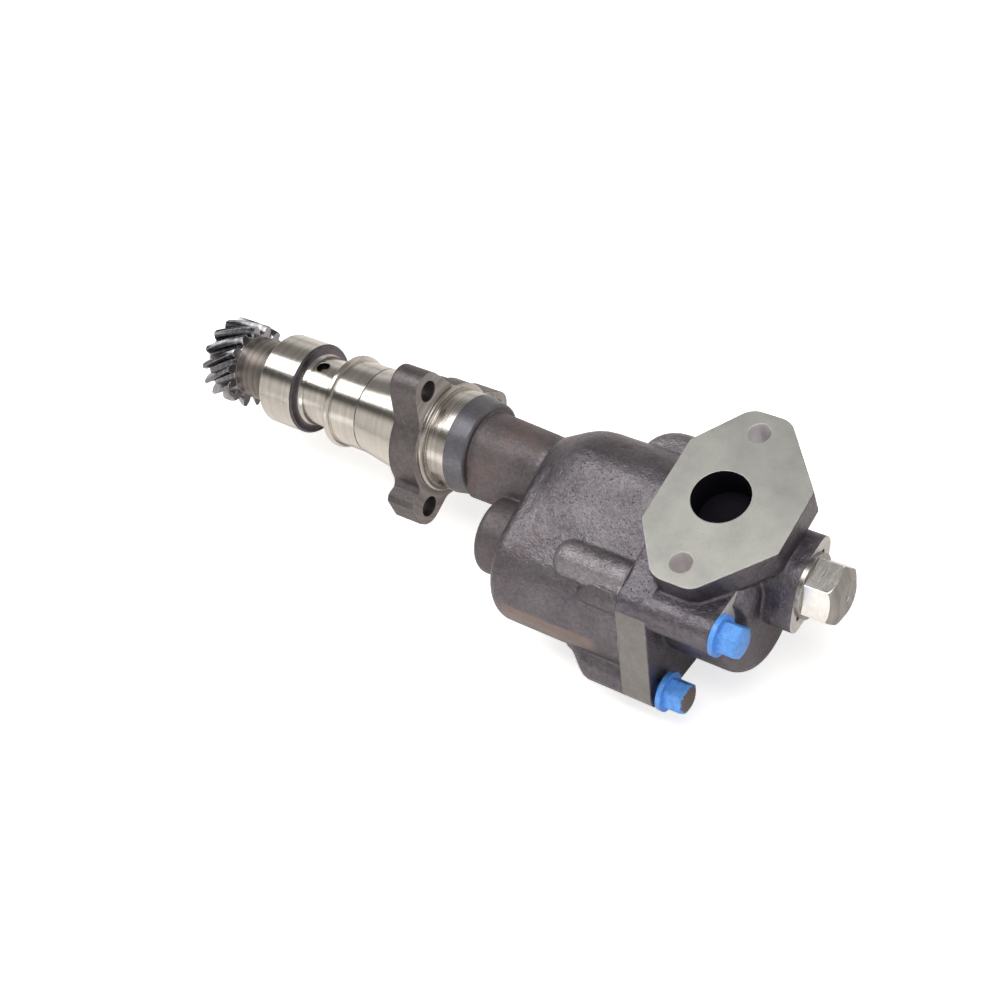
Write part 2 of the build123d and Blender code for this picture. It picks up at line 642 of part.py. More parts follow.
def pump_cover():
    """Cover casting with the pickup flange and the relief valve's boss."""
    outline = [(place, BOLT_BOSS_R) for place in bolt_places()] + [((0.0, 0.0), HOUSING_R)]
    casting = hull_plate(outline, JOINT_X, COVER_FLANGE_T)
    for place in SHORT_BOLT_PLACES:
        casting += rod(BOLT_BOSS_R, JOINT_X, BOLT_SEAT_X, place)
    lobe = rod(COVER_LOBE_R, JOINT_X + COVER_FLANGE_T / 2, COVER_FRONT_X, COVER_LOBE_PLACE)
    casting += fillet(lobe.faces().sort_by(Axis.X)[-1].edges(), COVER_LOBE_ROUND)
    casting += drilled(PICKUP_NECK_R, (PICKUP_X, 0, 0), (PICKUP_X, 0, PICKUP_FACE_Z - PICKUP_T / 2))
    casting += relief_web()
    casting += relief_boss()
    casting += pickup_flange()
    return casting - cover_bores()


# ---------------------------------------------------------------- rotating parts
def pump_gear(offset_teeth, place, bore_r):
    """Spur gear of the pumping pair."""
    root_r = PUMP_PITCH_R - PUMP_DEDENDUM * PUMP_MODULE
    section = involute_section(
        PUMP_TEETH, PUMP_PITCH_R, PUMP_PRESSURE_ANGLE, PUMP_TIP_R, root_r, PUMP_BACKLASH
    )
    blank = extrude(Plane.YZ * section, PUMP_GEAR_L)
    gear = Pos(PUMP_GEAR_X, *place) * (mesh_turn(offset_teeth) * blank)
    return gear - rod(bore_r, PUMP_GEAR_X - 1, PUMP_GEAR_X + PUMP_GEAR_L + 1, place)


def pump_key_x():
    """Station where the pump gear's key starts."""
    return PUMP_GEAR_X + (PUMP_GEAR_L - PUMP_KEY_L) / 2


def drive_key_x():
    """Station where the drive gear's key starts."""
    return HUB_X - DRIVE_KEY_L


def pump_drive_gear():
    """Pump gear keyed to the drive shaft."""
    gear = pump_gear(0, (0.0, 0.0), SHAFT_R + PRESS_FIT)
    slot = key_slot(PUMP_GEAR_L + 2, PUMP_GEAR_X - 1, SHAFT_R, KEY_FIT)
    return gear - slot


def idler_gear():
    """Pump gear that runs free on the idler shaft."""
    offset = 0.5 if PUMP_TEETH % 2 == 0 else 0.0
    return pump_gear(offset, IDLER_PLACE, IDLER_BUSHING_R + PRESS_FIT)


def helical_drive_gear():
    """Helical gear with a plain hub, driven by the engine."""
    transverse = DRIVE_MODULE / math.cos(math.radians(DRIVE_HELIX))
    pitch_r = transverse * DRIVE_TEETH / 2
    slope = math.tan(math.radians(DRIVE_PRESSURE_ANGLE)) / math.cos(math.radians(DRIVE_HELIX))
    section = involute_section(
        DRIVE_TEETH,
        pitch_r,
        math.degrees(math.atan(slope)),
        pitch_r + DRIVE_ADDENDUM * DRIVE_MODULE,
        pitch_r - DRIVE_DEDENDUM * DRIVE_MODULE,
        DRIVE_BACKLASH,
    )
    twist = math.degrees(DRIVE_FACE_W * math.tan(math.radians(DRIVE_HELIX)) / pitch_r)
    toothed = Solid.extrude_linear_with_rotation(section.face(), (0, 0, 0), (0, 0, DRIVE_FACE_W), -twist)
    gear = Pos(GEAR_X, 0, 0) * (Rot(0, 90, 0) * toothed)
    gear += rod(DRIVE_HUB_R, GEAR_X + DRIVE_FACE_W - 1, HUB_X)
    gear -= rod(SHAFT_SEAT_R + PRESS_FIT, GEAR_X - 1, HUB_X + 1)
    return gear - key_slot(DRIVE_KEY_L + 2, drive_key_x(), SHAFT_SEAT_R, KEY_FIT)


def drive_shaft():
    """Shaft that joins the drive gear to the driven pump gear."""
    profile = bevelled(
        (
            (GEAR_X - SHAFT_THREAD_L, 0, 0),
            (GEAR_X - SHAFT_THREAD_L, SHAFT_THREAD_R, JOURNAL_EDGE),
            (GEAR_X, SHAFT_THREAD_R, 0),
            (GEAR_X, SHAFT_SEAT_R, 0),
            (HUB_X, SHAFT_SEAT_R, 0),
            (HUB_X, SHAFT_R, 0),
            (SHAFT_END_X, SHAFT_R, JOURNAL_EDGE),
            (SHAFT_END_X, 0, 0),
        )
    )
    shaft = turned(profile, [0] * len(profile))
    shaft -= key_slot(PUMP_KEY_L, pump_key_x(), SHAFT_R, KEY_FIT)
    return shaft - key_slot(DRIVE_KEY_L, drive_key_x(), SHAFT_SEAT_R, KEY_FIT)


def gear_nut():
    """Nut that holds the drive gear against its shoulder."""
    nut = hexagon(GEAR_NUT_AF, 0, GEAR_NUT_T, GEAR_NUT_CHAMFER)
    nut = Pos(GEAR_X - GEAR_WASHER_T, 0, 0) * (Rot(0, 180, 0) * nut)
    return nut - rod(SHAFT_THREAD_R + PRESS_FIT, GEAR_X - SHAFT_THREAD_L - 5, GEAR_X)


def ring(outer_r, inner_r, x_start, x_end, place=(0.0, 0.0)):
    """Plain ring along X."""
    return rod(outer_r, x_start, x_end, place) - rod(inner_r, x_start - 1, x_end + 1, place)


def bushing(x_start, length):
    """Bushing that carries the drive shaft."""
    return ring(BUSHING_R, SHAFT_R + RUNNING_FIT, x_start, x_start + length)


# ---------------------------------------------------------------- fasteners
def cover_bolt(place, seat_x):
    """Flanged hexagon bolt through the cover into the body."""
    shank_start = JOINT_X - BOLT_ENGAGEMENT
    head_x = seat_x + BOLT_FLANGE_T
    bolt = rod(BOLT_R, shank_start, seat_x + 1, place)
    bolt += rod(BOLT_FLANGE_R, seat_x, head_x, place)
    head = hexagon(BOLT_HEAD_AF, head_x, BOLT_HEAD_H, BOLT_HEAD_CHAMFER)
    return bolt + Pos(0, *place) * head


# ---------------------------------------------------------------- relief valve
def relief_plunger():
    """Cup-shaped plunger, open towards its spring."""
    plunger_r = RELIEF_BORE_R - SLIDING_FIT
    cup = rod(plunger_r, PLUNGER_X, PLUNGER_X + PLUNGER_L, RELIEF_PLACE)
    well_x = PLUNGER_X + PLUNGER_CROWN
    return cup - rod(plunger_r - PLUNGER_WALL, well_x, PLUNGER_X + PLUNGER_L + 1, RELIEF_PLACE)


def relief_cap():
    """Hexagon cap screwed into the relief boss, hollow for the spring."""
    corner_r = CAP_HEX_AF / math.sqrt(3)
    end_x = CAP_SEAT_X + CAP_HEX_L
    bar = extrude(Plane.YZ.offset(CAP_SEAT_X) * RegularPolygon(corner_r, 6), CAP_HEX_L)
    dome = (
        (CAP_SEAT_X, 0),
        (CAP_SEAT_X, corner_r + 1),
        (end_x - CAP_DOME, corner_r),
        (end_x, corner_r - 2 * CAP_DOME),
        (end_x, 0),
    )
    cap = bar & turned(dome, (0, 0, CAP_DOME, CAP_DOME / 2, 0))
    cap = Pos(0, *RELIEF_PLACE) * cap
    cap += rod(CAP_THREAD_R, RELIEF_FACE_X - CAP_THREAD_L, CAP_SEAT_X + 1, RELIEF_PLACE)
    cap -= rod(CAP_RECESS_R, RELIEF_FACE_X - CAP_THREAD_L - 1, spring_seat_x(), RELIEF_PLACE)
    return cap - rod(CAP_CENTRE_MARK_R, end_x - CAP_CENTRE_MARK_DEPTH, end_x + 1, RELIEF_PLACE)


def spring_seat_x():
    """Station of the floor of the cap's spring recess."""
    return CAP_SEAT_X + CAP_HEX_L / 2


def relief_spring():
    """Coil spring between the plunger's crown and the cap."""
    start = PLUNGER_X + PLUNGER_CROWN + SPRING_WIRE_R
    length = spring_seat_x() - start - SPRING_WIRE_R
    path = Helix(length / SPRING_COIL_COUNT, length, SPRING_R)
    section = Plane(origin=path @ 0, z_dir=path % 0) * RegularPolygon(SPRING_WIRE_R, SPRING_WIRE_FLATS)
    coil = sweep(section, path=path)
    return Pos(start, *RELIEF_PLACE) * (Rot(0, 90, 0) * coil)


# ---------------------------------------------------------------- assembly
def nodes():
    """Every part of the pump, by name."""
    shaft_key = key_slot(PUMP_KEY_L, pump_key_x(), SHAFT_R)
    gear_key = key_slot(DRIVE_KEY_L, drive_key_x(), SHAFT_SEAT_R)
    idler_bushing = ring(
        IDLER_BUSHING_R, IDLER_SHAFT_R + RUNNING_FIT, PUMP_GEAR_X, PUMP_GEAR_X + PUMP_GEAR_L, IDLER_PLACE
    )
    thrust_start = FRONT_X - END_FLOAT - THRUST_WASHER_T
    return {
        "pump_body": pump_body(),
        "pump_cover": pump_cover(),
        "drive_shaft": drive_shaft(),
        "helical_drive_gear": helical_drive_gear(),
        "drive_gear_key": gear_key,
        "drive_gear_washer": ring(
            GEAR_WASHER_R, SHAFT_THREAD_R + PRESS_FIT, GEAR_X - GEAR_WASHER_T, GEAR_X
        ),
        "drive_gear_nut": gear_nut(),
        "thrust_washer": ring(
            THRUST_WASHER_R, SHAFT_R + RUNNING_FIT, thrust_start, thrust_start + THRUST_WASHER_T
        ),
        "front_bushing": bushing(FRONT_X, FRONT_BUSHING_L),
        "rear_bushing": bushing(CHAMBER_X - REAR_BUSHING_L, REAR_BUSHING_L),
        "cover_bushing": bushing(JOINT_X, COVER_BUSHING_L),
        "pump_drive_gear": pump_drive_gear(),
        "pump_gear_key": shaft_key,
        "idler_gear": idler_gear(),
        "idler_bushing": idler_bushing,
        "idler_shaft": rod(IDLER_SHAFT_R, CHAMBER_X - IDLER_SHAFT_GRIP, SHAFT_END_X, IDLER_PLACE),
        "cover_bolts": Compound([cover_bolt(place, BOLT_SEAT_X) for place in SHORT_BOLT_PLACES]),
        "long_cover_bolt": cover_bolt(LONG_BOLT_PLACE, LONG_SEAT_X),
        "dowel_pins": Compound(
            [rod(DOWEL_R, JOINT_X - DOWEL_L / 2, JOINT_X + DOWEL_L / 2, place) for place in DOWEL_PLACES]
        ),
        "relief_plunger": relief_plunger(),
        "relief_spring": relief_spring(),
        "relief_cap": relief_cap(),
        "relief_cap_washer": ring(
            CAP_WASHER_R, CAP_THREAD_R + PRESS_FIT, RELIEF_FACE_X, CAP_SEAT_X, RELIEF_PLACE
        ),
    }


def main():
    """Write one STEP file per part."""
    os.makedirs("parts", exist_ok=True)
    for name, solid in nodes().items():
        export_step(solid, f"parts/{name}.step")


main()
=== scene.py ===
"""Engine oil pump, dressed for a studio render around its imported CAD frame.

Lengths are metres in the CAD's own frame: +X along the drive shaft, +Z out of the pickup face.
"""
from __future__ import annotations

import logging
import math
from dataclasses import dataclass
from enum import Enum
from typing import Any, Callable

import bmesh
import bpy
from mathutils import Matrix, Vector


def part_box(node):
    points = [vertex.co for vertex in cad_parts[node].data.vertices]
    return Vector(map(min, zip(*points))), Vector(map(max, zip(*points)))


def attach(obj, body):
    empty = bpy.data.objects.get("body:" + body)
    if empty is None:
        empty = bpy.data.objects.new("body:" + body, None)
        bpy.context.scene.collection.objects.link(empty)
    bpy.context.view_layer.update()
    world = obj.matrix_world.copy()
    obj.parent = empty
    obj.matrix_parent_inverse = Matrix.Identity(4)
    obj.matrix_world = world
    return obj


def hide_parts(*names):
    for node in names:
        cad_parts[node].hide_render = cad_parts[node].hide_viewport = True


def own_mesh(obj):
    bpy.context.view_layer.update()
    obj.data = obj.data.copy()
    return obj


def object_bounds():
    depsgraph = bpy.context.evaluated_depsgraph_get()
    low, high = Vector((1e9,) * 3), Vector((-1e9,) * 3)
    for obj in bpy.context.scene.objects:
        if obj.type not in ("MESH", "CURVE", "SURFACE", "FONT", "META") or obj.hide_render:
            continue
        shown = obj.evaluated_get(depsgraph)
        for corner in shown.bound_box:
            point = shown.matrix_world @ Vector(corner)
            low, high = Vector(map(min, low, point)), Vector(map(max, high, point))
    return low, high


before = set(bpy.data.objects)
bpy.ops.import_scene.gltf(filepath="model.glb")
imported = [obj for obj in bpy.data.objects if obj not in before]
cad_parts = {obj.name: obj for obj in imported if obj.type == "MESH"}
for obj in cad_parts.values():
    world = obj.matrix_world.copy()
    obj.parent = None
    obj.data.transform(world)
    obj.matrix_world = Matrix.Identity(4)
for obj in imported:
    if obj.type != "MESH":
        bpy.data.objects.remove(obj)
CAD_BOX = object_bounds()

MM = 0.001
Colour = tuple[float, float, float]
Point = tuple[float, float, float]
Pair = tuple[float, float]
Node = bpy.types.Node
Socket = bpy.types.NodeSocket
log = logging.getLogger("pump")

WHITE: Colour = (1.0, 1.0, 1.0)
RUST_BLOOM: Colour = (0.17, 0.115, 0.10)
# Pinkish-brown of the housing's streak: a painted reflection of the floor.
STREAK_REFLECTION: Colour = (0.26, 0.195, 0.165)
BOLT_RUST: Colour = (0.20, 0.09, 0.05)
BOLT_STEEL: Colour = (0.13, 0.12, 0.115)
BOLT_BLUE: Colour = (0.11, 0.37, 0.95)
WORN_IRON: Colour = (0.85, 0.84, 0.80)
WORN_FACE: Colour = (0.80, 0.80, 0.75)
WORN_PLATE: Colour = (0.95, 0.94, 0.92)

# How much of a face's normal lies along an axis.
SQUARE = 0.99
FACING = 0.9
LEANING = 0.6
SIDEWAYS = 0.3


class Region(Enum):
    """The finishes that a piece can show in different places."""

    CAST = 0
    TURNED = 1
    FACED = 2
    BAND = 3
    EDGE = 4
    DEEP = 5
    # Painted shade on the body's groove end and scribed line; the browner oiled hub on the gear.
    SHADE_AND_STAIN = 6
    HOLE = 7
    PAINTED_SHEEN = 8
    NECK = 9
    FLANGE = 10
    STEP = 11


def scaled(colour: Colour, by: float) -> Colour:
    """Makes a colour darker or paler, up to white."""
    return tuple(min(1.0, channel * by) for channel in colour)


class Wiring:
    """Adds nodes to one tree and joins them."""

    def __init__(self, tree: bpy.types.NodeTree) -> None:
        """Keeps the tree that the nodes go into."""
        self.tree = tree

    def feed(self, node: Node, **inputs: Any) -> None:
        """Sets or joins a node's inputs.

        Args:
            node: The node.
            inputs: Values or sockets by input name, with _ for a space, or i0, i1 for a number.
        """
        for name, value in inputs.items():
            numbered = name[0] == "i" and name[1:].isdigit()
            socket = node.inputs[int(name[1:]) if numbered else name.replace("_", " ")]
            if isinstance(value, Socket):
                self.tree.links.new(value, socket)
            else:
                socket.default_value = value

    def add(self, kind: str, settings: dict[str, Any] | None = None, **inputs: Any) -> Node:
        """Adds a node, sets its options and feeds its inputs.

        Args:
            kind: The node's type name.
            settings: The node's own options, by attribute name.
            inputs: What feed takes.

        Returns:
            The new node.
        """
        node = self.tree.nodes.new(kind)
        for option, value in (settings or {}).items():
            setattr(node, option, value)
        self.feed(node, **inputs)
        return node

    def math(self, operation: str, *values: Any) -> Socket:
        """Adds a Math node.

        Args:
            operation: The operation's name.
            values: Its numbers or sockets, in order.

        Returns:
            The node's output.
        """
        inputs = {f"i{index}": value for index, value in enumerate(values)}
        return self.add("ShaderNodeMath", {"operation": operation}, **inputs).outputs[0]

    def split(self, vector: Socket) -> list[Socket]:
        """Gives the X, Y and Z sockets of a vector."""
        return list(self.add("ShaderNodeSeparateXYZ", Vector=vector).outputs)

    def stretch(self, vector: Socket, scales: Point) -> Socket:
        """Multiplies a vector by one number for each axis."""
        product = {"operation": "MULTIPLY"}
        return self.add("ShaderNodeVectorMath", product, i0=vector, i1=scales).outputs[0]

    def noise(self, at: Socket, scale: float, detail: float = 3.0, rough: float = 0.5) -> Socket:
        """Adds a Noise Texture.

        Args:
            at: Socket with the point that it reads.
            scale: How many features lie in a metre.
            detail: Octaves of finer noise.
            rough: How strong the finer octaves are.

        Returns:
            The noise's value.
        """
        inputs = {"Vector": at, "Scale": scale, "Detail": detail, "Roughness": rough}
        return self.add("ShaderNodeTexNoise", **inputs).outputs[0]

    def bands(self, along: Socket, scale: float) -> Socket:
        """Adds noise that changes along one number, with so many features in a metre."""
        line = {"noise_dimensions": "1D"}
        return self.add("ShaderNodeTexNoise", line, W=along, Scale=scale, Detail=2.0).outputs[0]

    def ramp(
        self, value: Any, near: float, far: float, start: float = 0.0, end: float = 1.0
    ) -> Socket:
        """Maps a value from near..far to start..end, held at both ends.

        Args:
            value: Socket to map.
            near: Value that gives start.
            far: Value that gives end; it may be below near.
            start: Result at near.
            end: Result at far.

        Returns:
            The mapped value.
        """
        inputs = {"i0": value, "i1": near, "i2": far, "i3": start, "i4": end}
        return self.add("ShaderNodeMapRange", **inputs).outputs[0]

    def blend(self, mask: Any, first: Any, second: Any) -> Socket:
        """Mixes two colours.

        Args:
            mask: Socket or number from 0, the first, to 1, the second.
            first: Colour or socket.
            second: Colour or socket.

        Returns:
            The mixed colour.
        """
        one, two = (side if isinstance(side, Socket) else (*side, 1.0) for side in (first, second))
        return self.add("ShaderNodeMix", {"data_type": "RGBA"}, i0=mask, i6=one, i7=two).outputs[2]


@dataclass(frozen=True)
class Effect:
    """A shader node group that several finishes share."""

    name: str
    inputs: tuple[tuple[str, str, float], ...]
    outputs: tuple[str, ...]
    wire: Callable[[Wiring, Node, Node], None]

    def group(self) -> bpy.types.NodeTree:
        """Gives the group, built on first use.

        Returns:
            The node group.
        """
        known = bpy.data.node_groups.get(self.name)
        if known:
            return known
        tree = bpy.data.node_groups.new(self.name, "ShaderNodeTree")
        for name, kind, value in self.inputs:
            socket = tree.interface.new_socket(name, in_out="INPUT", socket_type=kind)
            if kind == "NodeSocketFloat":
                socket.default_value = value
        for name in self.outputs:
            tree.interface.new_socket(name, in_out="OUTPUT", socket_type="NodeSocketFloat")
        wiring = Wiring(tree)
        self.wire(wiring, wiring.add("NodeGroupInput"), wiring.add("NodeGroupOutput"))
        return tree

    def place(self, wiring: Wiring, **inputs: Any) -> Node:
        """Puts the group into a material, with values or sockets by input name."""
        return wiring.add("ShaderNodeGroup", {"node_tree": self.group()}, **inputs)


def wire_sand_skin(w: Wiring, given: Node, result: Node) -> None:
    """Sand-cast skin: lumps, grains and small pits.

    Args:
        w: The group's wiring.
        given: The group's inputs.
        result: The group's outputs.
    """
    at = given.outputs["Point"]
    lumps = w.noise(at, scale=130.0, detail=2.0)
    grains = w.noise(at, scale=760.0, rough=0.7)
    specks = w.add("ShaderNodeTexVoronoi", Vector=at, Scale=540.0).outputs["Distance"]
    pits = w.ramp(specks, near=0.05, far=0.30, start=1.0, end=0.0)
    pitted = w.ramp(w.noise(at, scale=90.0, detail=2.0), near=0.48, far=0.62)
    pit_depth = 0.25
    pits = w.math("MULTIPLY", w.math("MULTIPLY", pits, pitted), pit_depth)
    height = w.math("MULTIPLY", grains, given.outputs["Grain"])
    height = w.math("MULTIPLY_ADD", lumps, given.outputs["Lump"], height)
    broad = w.ramp(w.noise(at, scale=42.0, detail=2.0), near=0.3, far=0.7, end=0.55)
    small = w.ramp(w.noise(at, scale=420.0, detail=4.0, rough=0.7), near=0.38, far=0.64)
    small_share = 0.45
    w.feed(
        result,
        Height=w.math("SUBTRACT", height, pits),
        Patches=w.math("MULTIPLY_ADD", small, small_share, broad),
        Grains=grains,
    )


def wire_tool_rings(w: Wiring, given: Node, result: Node) -> None:
    """Fine rings that a lathe tool leaves, along X on a turned length and round X on a faced end.

    Args:
        w: The group's wiring.
        given: The group's inputs.
        result: The group's outputs.
    """
    along, side, rise = w.split(given.outputs["Point"])
    squares = w.math("ADD", w.math("POWER", side, 2.0), w.math("POWER", rise, 2.0))
    faced = w.math("MULTIPLY", w.math("SQRT", squares), given.outputs["Faced"])
    step = w.math("ADD", along, faced)
    broad = w.ramp(w.bands(step, scale=260.0), near=0.3, far=0.7)
    smears = w.ramp(w.noise(given.outputs["Point"], scale=45.0), near=0.35, far=0.65)
    w.feed(result, Rings=w.bands(step, scale=2600.0), Bands=broad, Smears=smears)


def wire_edge_wear(w: Wiring, given: Node, result: Node) -> None:
    """Mask of outer and inner edges, broken up by noise.

    Args:
        w: The group's wiring.
        given: The group's inputs.
        result: The group's outputs.
    """
    rounded = w.add("ShaderNodeBevel", {"samples": 4}, Radius=given.outputs["Width"]).outputs[0]
    flat = w.add("ShaderNodeNewGeometry").outputs["Normal"]
    alike = w.add("ShaderNodeVectorMath", {"operation": "DOT_PRODUCT"}, i0=rounded, i1=flat)
    edge = w.ramp(alike.outputs["Value"], near=0.995, far=0.90)
    broken = w.ramp(w.noise(given.outputs["Point"], scale=240.0), near=0.35, far=0.6)
    w.feed(result, Wear=w.math("MULTIPLY", edge, broken))


POINT = ("Point", "NodeSocketVector", 0.0)
SAND_SKIN = Effect(
    "Sand skin",
    (POINT, ("Lump", "NodeSocketFloat", 0.6), ("Grain", "NodeSocketFloat", 0.5)),
    ("Height", "Patches", "Grains"),
    wire_sand_skin,
)
TOOL_RINGS = Effect(
    "Tool rings",
    (POINT, ("Faced", "NodeSocketFloat", 0.0)),
    ("Rings", "Bands", "Smears"),
    wire_tool_rings,
)
EDGE_WEAR = Effect(
    "Edge wear", (POINT, ("Width", "NodeSocketFloat", 1.0 * MM)), ("Wear",), wire_edge_wear
)


@dataclass(frozen=True)
class Finish:
    """What every finish shares: a name, and the shader with its rounded edges."""

    name: str

    def material(self) -> bpy.types.Material:
        """Gives the finish's material, built on first use.

        Returns:
            The material.
        """
        known = bpy.data.materials.get(self.name)
        if known:
            return known
        made = bpy.data.materials.new(self.name)
        made.use_nodes = True
        made.node_tree.nodes.clear()
        wiring = Wiring(made.node_tree)
        shader = wiring.add("ShaderNodeBsdfPrincipled")
        wiring.add("ShaderNodeOutputMaterial", Surface=shader.outputs[0])
        point = wiring.add("ShaderNodeTexCoord").outputs["Object"]
        self.wire(wiring, shader, point)
        return made

    def wire(self, w: Wiring, shader: Node, point: Socket) -> None:
        """Wires the finish's colour, roughness and relief.

        Args:
            w: The material's wiring.
            shader: The material's shader.
            point: Socket with the surface point.
        """
        raise NotImplementedError

    def relief(
        self,
        w: Wiring,
        shader: Node,
        height: Socket,
        depth: float,
        strength: float,
        rounding: float,
    ) -> None:
        """Joins a height to the shader's normal, over edges rounded by a radius.

        Args:
            w: The material's wiring.
            shader: The material's shader.
            height: Socket with the height.
            depth: Relief in metres that a height of 1 stands for.
            strength: How strongly the relief shows.
            rounding: Radius of the rounded edges in metres.
        """
        edge = w.add("ShaderNodeBevel", {"samples": 6}, Radius=rounding).outputs[0]
        inputs = {"Strength": strength, "Distance": depth, "Height": height, "Normal": edge}
        w.feed(shader, Normal=w.add("ShaderNodeBump", **inputs).outputs[0])


@dataclass(frozen=True)
class CastIron(Finish):
    """Sand-cast iron with a dark oiled skin."""

    dark: Colour
    light: Colour
    lump: float = 0.8
    grain: float = 0.34
    depth: float = 1.1 * MM
    rounding: float = 3.0 * MM
    rough: float = 0.33
    smoother: float = 0.06
    rougher: float = 0.14
    metal: float = 0.9
    shine: float = 0.6
    rust: float = 0.3
    edge_share: float = 0.35
    edge_pale: float = 1.9

    def wire(self, w: Wiring, shader: Node, point: Socket) -> None:
        """Wires mottled iron with lumps, grains and paler edges.

        Args:
            w: The material's wiring.
            shader: The material's shader.
            point: Socket with the surface point.
        """
        skin = SAND_SKIN.place(w, Point=point, Lump=self.lump, Grain=self.grain).outputs
        wear = EDGE_WEAR.place(w, Point=point, Width=self.rounding / 2).outputs[0]
        colour = w.blend(skin["Patches"], self.dark, self.light)
        bloom = w.noise(point, scale=24.0, detail=4.0, rough=0.65)
        bloom = w.ramp(bloom, near=0.56, far=0.70, end=self.rust)
        colour = w.blend(bloom, colour, RUST_BLOOM)
        edges = w.math("MULTIPLY", wear, self.edge_share)
        colour = w.blend(edges, colour, scaled(self.light, self.edge_pale))
        least, most = self.rough - self.smoother, self.rough + self.rougher
        w.feed(
            shader,
            Base_Color=self.marks(w, point, colour),
            Roughness=w.ramp(skin["Grains"], near=0.3, far=0.7, start=least, end=most),
            Metallic=self.metal,
            Specular_IOR_Level=self.shine,
        )
        self.relief(w, shader, skin["Height"], self.depth, strength=1.0, rounding=self.rounding)

    def marks(self, w: Wiring, point: Socket, colour: Socket) -> Socket:
        """Adds marks painted over its colour, such as a painted reflection; plain iron has none."""
        return colour


@dataclass(frozen=True)
class HousingIron(CastIron):
    """Cast iron with a painted reflection: a pinkish-brown streak along the side of the idler's
    shell.
    """

    shell: Pair = (-47.0 * MM, -19.9 * MM)
    streak: Pair = (107.0 * MM, 172.0 * MM)
    angles: Pair = (-14.0, 6.0)
    fade_length: float = 3.0 * MM
    fade_angle: float = 1.5
    grain_scale: Point = (60.0, 600.0, 600.0)

    def marks(self, w: Wiring, point: Socket, colour: Socket) -> Socket:
        """Wires the painted reflection streak, by its station and its angle round the shell.

        Args:
            w: The material's wiring.
            point: Socket with the surface point.
            colour: Socket with the iron's colour.

        Returns:
            The colour with the painted reflection streak.
        """
        along, across, height = w.split(point)
        out = w.math("SUBTRACT", self.shell[0], across)
        down = w.math("SUBTRACT", self.shell[1], height)
        angle = w.math("DEGREES", w.math("ARCTAN2", down, out))
        grain = w.noise(w.stretch(point, self.grain_scale), scale=1.0, rough=0.6)
        mask = w.ramp(grain, near=0.32, far=0.6, start=0.35, end=0.85)
        for value, limits, fade in (
            (angle, self.angles, self.fade_angle),
            (along, self.streak, self.fade_length),
        ):
            for limit, start in zip(limits, (0.0, 1.0)):
                part = w.ramp(value, limit - fade, limit + fade, start, 1.0 - start)
                mask = w.math("MULTIPLY", mask, part)
        # The streak's colour is a painted reflection, not rust.
        return w.blend(mask, colour, STREAK_REFLECTION)


@dataclass(frozen=True)
class MachinedIron(Finish):
    """Bare iron or steel left by a lathe or a milling cutter."""

    dark: Colour
    light: Colour
    rough: float = 0.27
    smoother: float = 0.05
    rougher: float = 0.09
    faced: float = 0.0
    depth: float = 0.06 * MM
    rounding: float = 0.7 * MM
    stain: float = 0.25
    stain_share: float = 0.5
    metal: float = 1.0
    edge_share: float = 0.4

    def wire(self, w: Wiring, shader: Node, point: Socket) -> None:
        """Wires tool rings, pale bands and faint smears.

        Args:
            w: The material's wiring.
            shader: The material's shader.
            point: Socket with the surface point.
        """
        tool = TOOL_RINGS.place(w, Point=point, Faced=self.faced).outputs
        wear = EDGE_WEAR.place(w, Point=point, Width=self.rounding).outputs[0]
        colour = w.blend(tool["Bands"], self.dark, self.light)
        smeared = w.math("MULTIPLY", tool["Smears"], self.stain_share)
        colour = w.blend(smeared, colour, scaled(self.dark, 1 - self.stain))
        least, most = self.rough - self.smoother, self.rough + self.rougher
        w.feed(
            shader,
            Base_Color=w.blend(w.math("MULTIPLY", wear, self.edge_share), colour, WORN_IRON),
            Roughness=w.ramp(tool["Rings"], near=0.25, far=0.75, start=least, end=most),
            Metallic=self.metal,
        )
        self.relief(w, shader, tool["Rings"], self.depth, strength=0.5, rounding=self.rounding)


@dataclass(frozen=True)
class MilledFace(Finish):
    """Wide flat face with a dull, cloudy milled look."""

    dark: Colour
    light: Colour
    depth: float = 0.1 * MM
    rounding: float = 0.8 * MM
    speck_shade: float = 0.7
    edge_share: float = 0.6

    def wire(self, w: Wiring, shader: Node, point: Socket) -> None:
        """Wires broad clouds over fine specks.

        Args:
            w: The material's wiring.
            shader: The material's shader.
            point: Socket with the surface point.
        """
        clouds = w.noise(point, scale=38.0, detail=4.0, rough=0.6)
        specks = w.noise(point, scale=700.0, rough=0.6)
        wear = EDGE_WEAR.place(w, Point=point, Width=self.rounding).outputs[0]
        colour = w.blend(w.ramp(clouds, near=0.32, far=0.68), self.dark, self.light)
        dotted = w.ramp(specks, near=0.55, far=0.8, end=0.35)
        colour = w.blend(dotted, colour, scaled(self.dark, self.speck_shade))
        w.feed(
            shader,
            Base_Color=w.blend(w.math("MULTIPLY", wear, self.edge_share), colour, WORN_FACE),
            Roughness=w.ramp(specks, near=0.3, far=0.7, start=0.36, end=0.5),
            Metallic=0.75,
        )
        self.relief(w, shader, specks, self.depth, strength=0.4, rounding=self.rounding)


